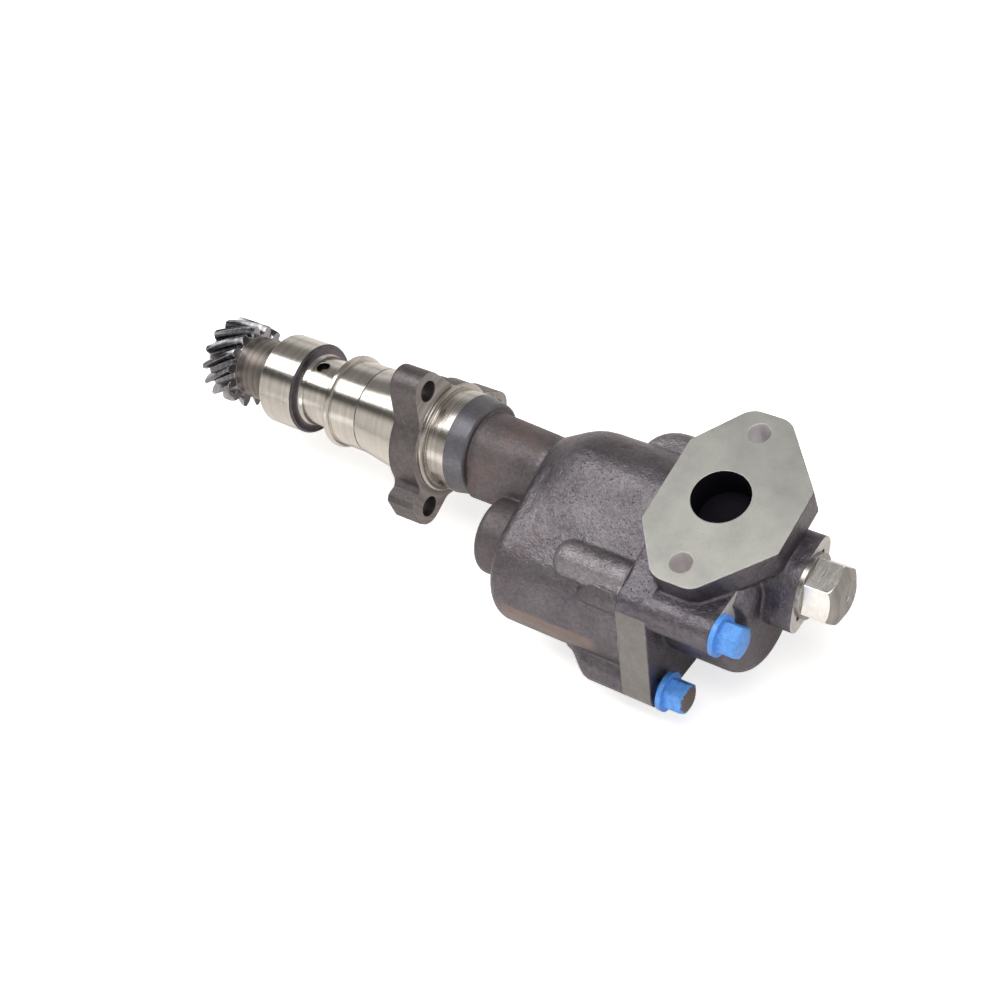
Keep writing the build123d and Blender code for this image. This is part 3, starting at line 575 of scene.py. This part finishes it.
@dataclass(frozen=True)
class PlatedSteel(Finish):
    """Bright plate over smooth steel, with faint clouds and hairline scratches."""

    dark: Colour
    light: Colour
    rough: float = 0.16
    smoother: float = 0.04
    rougher: float = 0.10
    depth: float = 0.02 * MM
    rounding: float = 0.9 * MM
    worn_width: float = 0.8 * MM
    edge_share: float = 0.5
    hair_scale: Point = (2600.0, 160.0, 160.0)

    def wire(self, w: Wiring, shader: Node, point: Socket) -> None:
        """Wires clouds, and scratches that run round the piece.

        Args:
            w: The material's wiring.
            shader: The material's shader.
            point: Socket with the surface point.
        """
        clouds = w.ramp(w.noise(point, scale=90.0, rough=0.6), near=0.35, far=0.65)
        hairs = w.noise(w.stretch(point, self.hair_scale), scale=1.0, detail=2.0, rough=0.6)
        wear = EDGE_WEAR.place(w, Point=point, Width=self.worn_width).outputs[0]
        colour = w.blend(clouds, self.dark, self.light)
        least, most = self.rough - self.smoother, self.rough + self.rougher
        w.feed(
            shader,
            Base_Color=w.blend(w.math("MULTIPLY", wear, self.edge_share), colour, WORN_PLATE),
            Roughness=w.ramp(hairs, near=0.3, far=0.7, start=least, end=most),
            Metallic=1.0,
        )
        self.relief(w, shader, hairs, self.depth, strength=0.4, rounding=self.rounding)


@dataclass(frozen=True)
class BoltPaint(Finish):
    """Blue marking paint that covers a bolt up to a station along the shaft."""

    reach: float
    ragged: float = 2.4 * MM
    bare_from: float = -0.9 * MM
    bare_to: float = -0.4 * MM
    depth: float = 0.5 * MM
    rounding: float = 0.8 * MM
    shade: float = 0.72
    chip_share: float = 0.5
    bare_metal: float = 0.5
    noise_middle: float = 0.5

    def wire(self, w: Wiring, shader: Node, point: Socket) -> None:
        """Wires paint over steel, with a broken edge round the end face.

        Args:
            w: The material's wiring.
            shader: The material's shader.
            point: Socket with the surface point.
        """
        along = w.split(point)[0]
        patches = w.noise(point, scale=420.0, rough=0.6)
        uneven = w.math("SUBTRACT", patches, self.noise_middle)
        end = w.math("MULTIPLY_ADD", uneven, self.ragged, along)
        bare = w.ramp(end, self.reach + self.bare_from, self.reach + self.bare_to)
        chips = w.ramp(w.noise(point, scale=260.0, detail=4.0, rough=0.7), near=0.66, far=0.72)
        bare = w.math("MAXIMUM", bare, w.math("MULTIPLY", chips, self.chip_share))
        faded = w.ramp(patches, near=0.35, far=0.65)
        paint = w.blend(faded, BOLT_BLUE, scaled(BOLT_BLUE, self.shade))
        rusty = w.ramp(w.noise(point, scale=600.0), near=0.5, far=0.7)
        w.feed(
            shader,
            Base_Color=w.blend(bare, paint, w.blend(rusty, BOLT_STEEL, BOLT_RUST)),
            Roughness=w.ramp(bare, near=0.0, far=1.0, start=0.34, end=0.5),
            Metallic=w.math("MULTIPLY", bare, self.bare_metal),
        )
        covered = w.math("MULTIPLY", patches, w.math("SUBTRACT", 1.0, bare))
        self.relief(w, shader, covered, self.depth, strength=0.6, rounding=self.rounding)


BODY_SKIN = HousingIron("Body iron", (0.086, 0.078, 0.092), (0.185, 0.172, 0.184))
COVER_SKIN = CastIron("Cover iron", (0.084, 0.076, 0.094), (0.180, 0.168, 0.184))
NECK_SKIN = CastIron(
    "Neck iron", (0.090, 0.076, 0.082), (0.165, 0.145, 0.152),
    lump=0.6, grain=0.3, depth=0.9 * MM, rough=0.50, metal=0.75, rust=0.5,
)
# Paler iron for the rib and the top lug: a painted sheen that stands for the highlight on them.
RIB_PAINTED_SHEEN = CastIron(
    "Rib iron with painted sheen", (0.130, 0.120, 0.136), (0.32, 0.30, 0.315), lump=0.9, grain=0.5, rough=0.30
)
SMOOTH_BAND = CastIron(
    "Smooth band iron", (0.085, 0.084, 0.098), (0.15, 0.148, 0.165),
    lump=0.15, grain=0.12, depth=0.3 * MM, rounding=1.5 * MM, rough=0.36, metal=0.6, rust=0.0,
)
FLANGE_RIM = CastIron(
    "Mounting flange rim", (0.085, 0.075, 0.078), (0.165, 0.149, 0.15),
    lump=0.5, grain=0.35, depth=0.8 * MM, rounding=1.5 * MM, rough=0.40,
)
FLANGE_EDGE = CastIron(
    "Cover edge iron", (0.17, 0.162, 0.157), (0.265, 0.254, 0.247),
    lump=0.25, grain=0.3, depth=0.5 * MM, rounding=1.5 * MM, rough=0.45, metal=0.5, rust=0.1,
)
# Near-black, matt iron for the inside of the pickup bore: painted shade.
BORE_PAINTED_SHADE = CastIron(
    "Bore iron, painted shade", (0.004, 0.003, 0.006), (0.008, 0.007, 0.012), lump=0.3, grain=0.3,
    depth=0.4 * MM, rounding=0.5 * MM, rough=0.7, metal=0.0, shine=0.1, rust=0.0,
)
TURNED = MachinedIron("Turned iron", (0.57, 0.545, 0.505), (0.70, 0.675, 0.62), rough=0.15)
# Dark iron for the end face by the groove and the scribed line: painted shade.
SHADE_AND_STAIN = MachinedIron(
    "Dark iron, painted shade", (0.11, 0.10, 0.12), (0.22, 0.20, 0.21), rough=0.32, faced=1.0
)
FACED = MachinedIron(
    "Faced iron", (0.60, 0.57, 0.55), (0.76, 0.725, 0.70), rough=0.45, faced=1.0, metal=0.3
)
FLANGE_FACE = MachinedIron(
    "Mounting flange face", (0.34, 0.31, 0.30), (0.52, 0.485, 0.465),
    rough=0.45, faced=1.0, stain=0.45, metal=0.4,
)
STEP_IRON = MachinedIron(
    "Turned step iron", (0.44, 0.41, 0.38), (0.62, 0.59, 0.545), rough=0.22, stain=0.4
)
BOLT_HOLE = MachinedIron(
    "Bolt hole wall", (0.74, 0.70, 0.71), (0.86, 0.83, 0.84), rough=0.5, stain=0.15, metal=0.35
)
PICKUP_FACE = MilledFace("Milled pickup face", (0.325, 0.325, 0.308), (0.435, 0.435, 0.41))
GEAR_STEEL = MachinedIron(
    "Gear steel", (0.14, 0.14, 0.158), (0.34, 0.34, 0.365),
    rough=0.18, depth=0.04 * MM, rounding=0.6 * MM, stain=0.5,
)
GROUND = MachinedIron("Ground steel", (0.55, 0.54, 0.52), (0.70, 0.69, 0.66), rough=0.2)
ZINC = PlatedSteel("Bright zinc", (0.76, 0.75, 0.72), (0.88, 0.87, 0.84))
WORN_WASHER = PlatedSteel("Worn washer", (0.26, 0.25, 0.24), (0.42, 0.41, 0.39), rough=0.26)
CAP_END = MachinedIron(
    "Turned cap end", (0.28, 0.27, 0.26), (0.42, 0.405, 0.385),
    rough=0.36, faced=1.0, depth=0.03 * MM, rounding=0.9 * MM,
)
SPRING_WIRE = MachinedIron("Spring wire", (0.22, 0.22, 0.23), (0.36, 0.36, 0.36), rough=0.3)
BRONZE = MachinedIron("Bushing bronze", (0.50, 0.34, 0.16), (0.68, 0.48, 0.25), rough=0.3)
HUB_STEEL = MachinedIron(
    "Oiled hub steel", (0.16, 0.14, 0.128), (0.28, 0.25, 0.228), rough=0.42
)
SHORT_BOLT = BoltPaint("Short bolt paint", reach=227.6 * MM)
LONG_BOLT = BoltPaint("Long bolt paint", reach=264.9 * MM)


@dataclass
class DressedNode:
    """A merged copy of a CAD node that shows one or more finishes."""

    node: str
    body: str
    slot: str
    finishes: dict[Region, Finish]
    smooth_angle: float = 34.0
    merge: float = 0.01 * MM

    def region(self, centre: Vector, normal: Vector) -> Region:
        """Says which finish a face has, from its middle and its outward direction."""
        return Region.CAST

    def shape(self, work: bmesh.types.BMesh) -> None:
        """Changes the merged copy before it is dressed; most pieces stay as they are."""

    def mesh(self) -> bpy.types.Mesh:
        """Makes the merged mesh with its regions marked.

        Returns:
            The new mesh.
        """
        work = bmesh.new()
        work.from_mesh(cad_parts[self.node].data)
        bmesh.ops.remove_doubles(work, verts=work.verts, dist=self.merge)
        self.shape(work)
        order = list(self.finishes)
        for face in work.faces:
            found = self.region(face.calc_center_median(), face.normal)
            face.material_index = order.index(found if found in self.finishes else order[0])
            face.smooth = True
        made = bpy.data.meshes.new(f"{self.node}_dressed")
        work.to_mesh(made)
        work.free()
        carried = made.attributes.get("custom_normal")
        if carried:
            made.attributes.remove(carried)
        made.set_sharp_from_angle(angle=math.radians(self.smooth_angle))
        for finish in self.finishes.values():
            made.materials.append(finish.material())
        return made

    def dress(self) -> None:
        """Builds the piece and lets it stand for its CAD node."""
        piece = bpy.data.objects.new(f"{self.node}_dressed", self.mesh())
        bpy.context.scene.collection.objects.link(piece)
        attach(piece, self.body)
        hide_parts(self.node)
        log.info("%s: %d faces", piece.name, len(piece.data.polygons))


@dataclass
class PumpBody(DressedNode):
    """The body casting: turned journals, mounting flange, neck and gear housing.

    Starts and ends are stations along the shaft, and a reach is a distance from the shaft's axis.
    """

    slack: float = 1.0 * MM
    margin: float = 0.2 * MM
    touch: float = 0.1 * MM
    groove_start: float = -88.0 * MM
    scribed: float = -36.0 * MM
    scribed_half: float = 0.41 * MM
    scribed_reach: float = 28.1 * MM
    flange_start: float = 0.0
    root_reach: float = 36.0 * MM
    flange_end: float = 20.0 * MM
    step_end: float = 37.0 * MM
    band_end: float = 50.5 * MM
    neck_end: float = 96.0 * MM
    joint: float = 190.1 * MM
    bore_reach: float = 17.0 * MM
    shell_centre: Pair = (-47.0 * MM, -19.9 * MM)
    shell_radius: float = 40.1 * MM
    proud: float = 0.4 * MM
    rib_centre: Pair = (-56.8 * MM, 19.1 * MM)
    rib_radius: float = 11.5 * MM
    rib_start: float = 141.0 * MM
    top_lug_reach: float = 35.1 * MM
    top_lug_side: float = 30.0 * MM
    top_lug_floor: float = -12.0 * MM
    lug_start: float = 163.0 * MM
    lug_full: float = 168.2 * MM
    lug_inner: float = -55.0 * MM
    lug_stretch: float = 3.0
    lug_height: float = 0.49
    hole_place: Pair = (-65.0 * MM, 15.5 * MM)
    hole_radius: float = 5.5 * MM

    def reach(self, spot: Vector, axis: Pair) -> float:
        """Gives a point's distance from a line that runs along X."""
        return math.hypot(spot.y - axis[0], spot.z - axis[1])

    def rib_meets(self, reach: float) -> Pair:
        """Finds where the rib's round side lies at a given distance from the shell's centre line.

        Args:
            reach: The distance from the shell's centre line.

        Returns:
            The place's Y and Z, on the rib's outer side.
        """
        apart = math.dist(self.rib_centre, self.shell_centre)
        toward = [(rib - shell) / apart for rib, shell in zip(self.rib_centre, self.shell_centre)]
        along = (reach**2 - self.rib_radius**2 + apart**2) / (2 * apart)
        aside = math.sqrt(reach**2 - along**2)
        return (
            self.shell_centre[0] + along * toward[0] - aside * toward[1],
            self.shell_centre[1] + along * toward[1] + aside * toward[0],
        )

    def shape(self, work: bmesh.types.BMesh) -> None:
        """Eases the start of the long bolt's lug into the shell, as a cast fillet would.

        Args:
            work: The merged copy.
        """
        for vert in work.verts:
            spot = vert.co
            near_start = self.lug_start < spot.x < self.lug_full
            if not near_start or spot.y > self.lug_inner or spot.z < 0.0:
                continue
            reach = self.reach(spot, self.shell_centre)
            in_hole = self.reach(spot, self.hole_place) < self.hole_radius
            if reach < self.shell_radius - self.proud or in_hole:
                continue
            on_rib = self.reach(spot, self.rib_centre) < self.rib_radius + self.touch
            spot.x = self.lug_full - (self.lug_full - spot.x) * self.lug_stretch
            if reach <= self.shell_radius:
                continue
            eased = self.shell_radius + (reach - self.shell_radius) * self.lug_height
            if on_rib:
                spot.y, spot.z = self.rib_meets(eased)
            else:
                spot.y = self.shell_centre[0] + (spot.y - self.shell_centre[0]) * eased / reach
                spot.z = self.shell_centre[1] + (spot.z - self.shell_centre[1]) * eased / reach

    def takes_painted_sheen(self, centre: Vector) -> bool:
        """Says whether a face of the housing lies on the rib or the top lug, which get a paler iron
        as a painted sheen.

        Args:
            centre: The face's middle.

        Returns:
            Whether it takes the painted sheen.
        """
        near_rib = self.reach(centre, self.rib_centre) < self.rib_radius + self.touch
        proud = self.reach(centre, self.shell_centre) > self.shell_radius + self.proud
        on_rib = near_rib and proud and centre.x > self.rib_start
        beside = centre.y > self.top_lug_side and centre.z > self.top_lug_floor
        on_top_lug = beside and math.hypot(centre.y, centre.z) > self.top_lug_reach
        return on_rib or on_top_lug

    def region(self, centre: Vector, normal: Vector) -> Region:
        """Finds a face's finish from its station along the shaft and its distance from it.

        Args:
            centre: The face's middle.
            normal: The face's outward direction.

        Returns:
            The face's region.
        """
        across = math.hypot(centre.y, centre.z)
        if across < self.bore_reach:
            return Region.FACED
        if centre.x < self.groove_start + self.slack:
            # The end face by the groove and the scribed line take the dark iron: painted shade.
            painted_shade_end = centre.x > self.groove_start - self.slack and normal.x > LEANING
            return Region.SHADE_AND_STAIN if painted_shade_end else Region.TURNED
        if abs(centre.x - self.scribed) < self.scribed_half and across < self.scribed_reach:
            return Region.SHADE_AND_STAIN
        if centre.x < self.flange_start + self.slack:
            near_root = across < self.root_reach and abs(normal.x) < SQUARE
            turned = near_root or centre.x < self.flange_start - self.slack
            return Region.TURNED if turned else Region.FACED
        if centre.x < self.flange_end + self.margin:
            return Region.FLANGE if abs(normal.x) > FACING else Region.EDGE
        if centre.x < self.step_end:
            return Region.STEP
        if centre.x < self.band_end:
            return Region.BAND
        if centre.x > self.joint - self.margin and normal.x > FACING:
            return Region.FACED
        if centre.x < self.neck_end:
            return Region.NECK
        # The rib and the top lug take the paler iron: painted sheen.
        return Region.PAINTED_SHEEN if self.takes_painted_sheen(centre) else Region.CAST


@dataclass
class PumpCover(DressedNode):
    """The cover casting: joint plate, pickup flange, shaft lobe and relief boss."""

    margin: float = 0.15 * MM
    pickup_x: float = 220.0 * MM
    pickup_face: float = 41.0 * MM
    pickup_bore: float = 17.0 * MM
    pickup_half: float = 45.0 * MM
    hole_reach: float = 7.0 * MM
    hole_floor: float = 20.0 * MM
    plate_start: float = 190.1 * MM
    plate_end: float = 209.1 * MM
    edge_side: float = -50.0 * MM
    edge_top: float = 19.0 * MM
    short_seat: float = 212.1 * MM
    long_seat: float = 248.1 * MM
    relief_face: float = 275.1 * MM

    def region(self, centre: Vector, normal: Vector) -> Region:
        """Finds a face's finish from the machined planes and bores of the cover.

        Args:
            centre: The face's middle.
            normal: The face's outward direction.

        Returns:
            The face's region.
        """
        if centre.z > self.pickup_face - self.margin and normal.z > FACING:
            return Region.TURNED
        from_bore = math.hypot(centre.x - self.pickup_x, centre.y)
        # The pickup bore's inside takes the near-black iron: painted shade.
        if from_bore < self.pickup_bore + self.margin and centre.z > 0.0:
            return Region.DEEP
        for side in (-self.pickup_half, self.pickup_half):
            from_hole = math.hypot(centre.x - self.pickup_x, centre.y - side)
            if from_hole < self.hole_reach and centre.z > self.hole_floor:
                return Region.HOLE
        for plane in (self.short_seat, self.long_seat, self.relief_face, self.plate_start):
            if abs(centre.x - plane) < self.margin and abs(normal.x) > FACING:
                return Region.FACED
        on_plate = self.plate_start < centre.x < self.plate_end and abs(normal.x) < SIDEWAYS
        if on_plate and centre.y < self.edge_side and centre.z < self.edge_top:
            return Region.EDGE
        return Region.CAST


@dataclass
class DriveGear(DressedNode):
    """The helical gear: oiled teeth and a browner hub."""

    teeth_end: float = -144.9 * MM

    def region(self, centre: Vector, normal: Vector) -> Region:
        """Tells the hub from the teeth by its station."""
        return Region.SHADE_AND_STAIN if centre.x > self.teeth_end else Region.CAST


@dataclass
class ReliefCap(DressedNode):
    """The relief valve's hexagon cap: plated flats and a turned, duller end."""

    def region(self, centre: Vector, normal: Vector) -> Region:
        """Tells the turned end from the flats by its direction."""
        return Region.FACED if normal.x > LEANING else Region.CAST


@dataclass
class SpringCoil:
    """The relief valve's coil spring, wound in geometry nodes."""

    place: Pair = (-14.0 * MM, 5.0 * MM)
    radius: float = 5.6 * MM
    wire: float = 0.9 * MM
    turns: float = 6.0
    steps_in_turn: int = 40
    sides_of_wire: int = 14

    def tree(self) -> bpy.types.NodeTree:
        """Builds the coil's geometry nodes.

        Returns:
            The node tree.
        """
        tree = bpy.data.node_groups.new("Coil spring", "GeometryNodeTree")
        for name in ("Start", "Length", "Radius", "Wire", "Turns"):
            tree.interface.new_socket(name, in_out="INPUT", socket_type="NodeSocketFloat")
        tree.interface.new_socket("Finish", in_out="INPUT", socket_type="NodeSocketMaterial")
        tree.interface.new_socket("Geometry", in_out="OUTPUT", socket_type="NodeSocketGeometry")
        w = Wiring(tree)
        given = w.add("NodeGroupInput").outputs
        coil = w.add(
            "GeometryNodeCurveSpiral", Resolution=self.steps_in_turn, Rotations=given["Turns"],
            Start_Radius=given["Radius"], End_Radius=given["Radius"], Height=given["Length"],
        )
        rim = w.add(
            "GeometryNodeCurvePrimitiveCircle", Resolution=self.sides_of_wire, Radius=given["Wire"]
        )
        along_x = (0.0, math.pi / 2, 0.0)
        start = w.add("ShaderNodeCombineXYZ", X=given["Start"], Y=self.place[0], Z=self.place[1])
        made = coil.outputs[0]
        for kind, inputs in (
            ("Transform", {"Rotation": along_x}),
            ("Transform", {"Translation": start.outputs[0]}),
            ("CurveToMesh", {"Profile_Curve": rim.outputs[0], "Fill_Caps": True}),
            ("SetShadeSmooth", {}),
            ("RealizeInstances", {}),
            ("SetMaterial", {"Material": given["Finish"]}),
        ):
            made = w.add(f"GeometryNode{kind}", i0=made, **inputs).outputs[0]
        w.add("NodeGroupOutput", Geometry=made)
        return tree

    def dress(self) -> None:
        """Winds the spring and fixes it to the housing."""
        low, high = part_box("relief_spring")
        sizes = {
            "Start": low.x + self.wire, "Length": high.x - low.x - 2 * self.wire,
            "Radius": self.radius, "Wire": self.wire, "Turns": self.turns,
            "Finish": SPRING_WIRE.material(),
        }
        piece = from_nodes("relief_spring_coil", self.tree(), sizes)
        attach(piece, "housing")
        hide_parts("relief_spring")
        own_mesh(piece)
        log.info("%s: %d faces", piece.name, len(piece.data.polygons))


def from_nodes(name: str, tree: bpy.types.NodeTree, sizes: dict[str, Any]) -> bpy.types.Object:
    """Runs a geometry nodes tree and keeps what it makes as a plain mesh.

    Args:
        name: The new object's name.
        tree: The tree, which ends in its Geometry output.
        sizes: The tree's inputs by name.

    Returns:
        The object with its finished mesh.
    """
    piece = bpy.data.objects.new(name, bpy.data.meshes.new(name))
    bpy.context.scene.collection.objects.link(piece)
    grown = piece.modifiers.new("Shape", "NODES")
    grown.node_group = tree
    for item in tree.interface.items_tree:
        if item.in_out == "INPUT" and item.name in sizes:
            grown[item.identifier] = sizes[item.name]
    seen = piece.evaluated_get(bpy.context.evaluated_depsgraph_get())
    made = bpy.data.meshes.new_from_object(seen)
    piece.modifiers.remove(grown)
    piece.data = made
    return piece


def paint_nodes(finish: Finish, names: tuple[str, ...]) -> None:
    """Gives CAD nodes that keep their shape a better material.

    Args:
        finish: The finish that they share.
        names: The nodes' names.
    """
    for name in names:
        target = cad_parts[name]
        target.data.materials.clear()
        target.data.materials.append(finish.material())
        log.info("%s: %s", name, finish.name)


@dataclass(frozen=True)
class StudioFloor(Finish):
    """Pale floor that reads as white and keeps the pump's shadow."""

    tint: Colour = (0.90, 0.86, 0.84)
    seen_tint: Colour = (0.97, 0.97, 0.97)
    glow_reach: Pair = (0.6, 1.8)
    glow: Pair = (0.58, 0.85)

    def wire(self, w: Wiring, shader: Node, point: Socket) -> None:
        """Wires a matt floor that glows a little towards the camera.

        Args:
            w: The material's wiring.
            shader: The material's shader.
            point: Socket with the surface point.
        """
        seen = w.add("ShaderNodeLightPath").outputs["Is Camera Ray"]
        away = w.add("ShaderNodeVectorMath", {"operation": "LENGTH"}, i0=point).outputs["Value"]
        glow = w.ramp(away, *self.glow_reach, *self.glow)
        w.feed(
            shader,
            Base_Color=w.blend(seen, self.tint, self.seen_tint),
            Roughness=0.9,
            Specular_IOR_Level=0.0,
            Emission_Color=(*WHITE, 1.0),
            Emission_Strength=w.math("MULTIPLY", seen, glow),
        )


@dataclass(frozen=True)
class Lamp:
    """One soft lamp: its place, the point it faces, its size in metres and its watts."""

    name: str
    at: Point
    aim: Point
    size: Pair
    power: float
    tint: Colour = WHITE

    def hang(self) -> None:
        """Hangs the lamp where the camera doesn't see it."""
        light = bpy.data.lights.new(self.name, "AREA")
        light.shape = "RECTANGLE"
        light.size, light.size_y = self.size
        light.energy = self.power
        light.color = self.tint
        hung = bpy.data.objects.new(self.name, light)
        hung.visible_camera = False
        at = Vector(self.at)
        turn = (at - Vector(self.aim)).to_track_quat("Z", "Y").to_matrix().to_4x4()
        hung.matrix_world = Matrix.Translation(at) @ turn
        bpy.context.scene.collection.objects.link(hung)


LAMPS = (
    Lamp(
        "overhead_softbox",
        at=(-0.35, -0.01, 1.15),
        aim=(-0.35, -0.01, 0.0),
        size=(2.6, 0.66),
        power=20.0,
        tint=(1.0, 0.99, 0.97),
    ),
    Lamp("cap_softbox", at=(1.2, -0.1, 0.35), aim=(0.06, -0.01, 0.0), size=(0.35, 0.35), power=1.2),
    Lamp("low_card", at=(-0.1, -1.5, 0.18), aim=(-0.1, 0.0, 0.1), size=(2.0, 0.5), power=4.6),
)


@dataclass
class Studio:
    """Floor, lamps, sky and camera. The sky's angles are degrees round X, from +Y upwards."""

    floor_size: float = 9.0
    floor_gap: float = 0.5 * MM
    horizon: float = 0.80
    upper: float = 0.26
    dark: float = 0.07
    ground_turn: Pair = (-2.0, 0.0)
    upper_turn: Pair = (14.0, 32.0)
    dark_turn: Pair = (108.0, 112.0)
    back_turn: Pair = (126.0, 142.0)
    low_tint: Colour = (1.0, 0.97, 0.95)
    high_tint: Colour = (1.0, 0.95, 0.90)
    focal_ratio: float = 1.674
    sensor: float = 36.0
    nearest: float = 0.01
    farthest: float = 50.0
    camera_at: Point = (0.5849, -0.3873, 0.7833)
    right: Point = (0.806, 0.518, -0.287)
    up: Point = (-0.303, 0.777, 0.552)

    def floor(self) -> None:
        """Lays the floor just under the pump."""
        height = CAD_BOX[0][2] - self.floor_gap
        work = bmesh.new()
        bmesh.ops.create_grid(work, x_segments=1, y_segments=1, size=self.floor_size / 2)
        bmesh.ops.translate(work, verts=work.verts, vec=(0.0, 0.0, height))
        made = bpy.data.meshes.new("studio_floor")
        work.to_mesh(made)
        work.free()
        made.materials.append(StudioFloor("Studio floor").material())
        laid = bpy.data.objects.new("studio_floor", made)
        bpy.context.scene.collection.objects.link(laid)

    def sky(self) -> None:
        """Wires a sky that is white low down, grey above, and dark beside the overhead softbox."""
        world = bpy.data.worlds.new("Studio sky")
        bpy.context.scene.world = world
        world.use_nodes = True
        world.node_tree.nodes.clear()
        w = Wiring(world.node_tree)
        way = w.split(w.add("ShaderNodeTexCoord").outputs["Generated"])
        round_x = w.math("DEGREES", w.math("ARCTAN2", way[2], way[1]))
        level = w.ramp(round_x, *self.upper_turn, self.horizon, self.upper)
        for turn, end in ((self.dark_turn, self.dark), (self.back_turn, self.horizon)):
            step = w.ramp(round_x, *turn)
            level = w.math("MULTIPLY_ADD", w.math("SUBTRACT", end, level), step, level)
        below = w.ramp(round_x, *self.ground_turn, start=1.0, end=0.0)
        ground = w.math("MULTIPLY", below, self.horizon)
        seen = w.add("ShaderNodeLightPath").outputs["Is Camera Ray"]
        level = w.math("MAXIMUM", w.math("MAXIMUM", level, ground), seen)
        tint = w.blend(w.ramp(round_x, *self.upper_turn), self.low_tint, self.high_tint)
        tint = w.blend(seen, tint, WHITE)
        shine = w.add("ShaderNodeBackground", Color=tint, Strength=level)
        w.add("ShaderNodeOutputWorld", Surface=shine.outputs[0])

    def camera(self) -> None:
        """Places the camera by its right and up directions, and sets its lens."""
        right, up = Vector(self.right), Vector(self.up)
        back = right.cross(up).normalized()
        up = back.cross(right).normalized()
        lens = bpy.data.cameras.new("Studio camera")
        lens.sensor_width = self.sensor
        lens.lens = self.focal_ratio * self.sensor
        lens.clip_start = self.nearest
        lens.clip_end = self.farthest
        camera = bpy.data.objects.new("Studio camera", lens)
        turn = Matrix((right.normalized(), up, back)).transposed().to_4x4()
        camera.matrix_world = Matrix.Translation(Vector(self.camera_at)) @ turn
        bpy.context.scene.collection.objects.link(camera)
        bpy.context.scene.camera = camera

    def build(self) -> None:
        """Builds the whole studio."""
        self.floor()
        for lamp in LAMPS:
            lamp.hang()
        self.sky()
        self.camera()


BODY_FINISHES = {
    Region.CAST: BODY_SKIN,
    Region.TURNED: TURNED,
    Region.FACED: FACED,
    Region.BAND: SMOOTH_BAND,
    Region.EDGE: FLANGE_RIM,
    Region.SHADE_AND_STAIN: SHADE_AND_STAIN,
    Region.PAINTED_SHEEN: RIB_PAINTED_SHEEN,
    Region.NECK: NECK_SKIN,
    Region.FLANGE: FLANGE_FACE,
    Region.STEP: STEP_IRON,
}
COVER_FINISHES = {
    Region.CAST: COVER_SKIN,
    Region.TURNED: PICKUP_FACE,
    Region.FACED: FACED,
    Region.EDGE: FLANGE_EDGE,
    Region.DEEP: BORE_PAINTED_SHADE,
    Region.HOLE: BOLT_HOLE,
}
GEAR_FINISHES = {Region.CAST: GEAR_STEEL, Region.SHADE_AND_STAIN: HUB_STEEL}
CAP_FINISHES = {Region.CAST: ZINC, Region.FACED: CAP_END}
DRESSED = (
    PumpBody("pump_body", "housing", "body_iron", BODY_FINISHES),
    PumpCover("pump_cover", "housing", "cover_iron", COVER_FINISHES),
    ReliefCap("relief_cap", "housing", "plated_steel", CAP_FINISHES),
    DriveGear("helical_drive_gear", "drive_line", "gear_steel", GEAR_FINISHES),
    DressedNode("thrust_washer", "housing", "ground_steel", {Region.CAST: HUB_STEEL}),
    DressedNode("drive_gear_washer", "drive_line", "plated_steel", {Region.CAST: ZINC}),
    DressedNode("drive_gear_nut", "drive_line", "plated_steel", {Region.CAST: ZINC}),
    DressedNode("cover_bolts", "housing", "blue_bolt", {Region.CAST: SHORT_BOLT}),
    DressedNode("long_cover_bolt", "housing", "blue_bolt", {Region.CAST: LONG_BOLT}),
    DressedNode("relief_cap_washer", "housing", "plated_steel", {Region.CAST: WORN_WASHER}),
)
GROUND_NODES = (
    "drive_shaft", "drive_gear_key", "pump_gear_key", "idler_shaft", "dowel_pins", "relief_plunger"
)
BUSHINGS = ("front_bushing", "rear_bushing", "cover_bushing", "idler_bushing")


def main() -> None:
    """Builds the pump's pieces in order, then the studio."""
    logging.basicConfig(level=logging.INFO, format="%(name)s %(message)s")
    bpy.context.scene.view_settings.view_transform = "Standard"
    for piece in DRESSED:
        piece.dress()
    paint_nodes(GROUND, GROUND_NODES)
    paint_nodes(GEAR_STEEL, ("pump_drive_gear", "idler_gear"))
    paint_nodes(BRONZE, BUSHINGS)
    SpringCoil().dress()
    Studio().build()


if __name__ == "__main__":
    main()
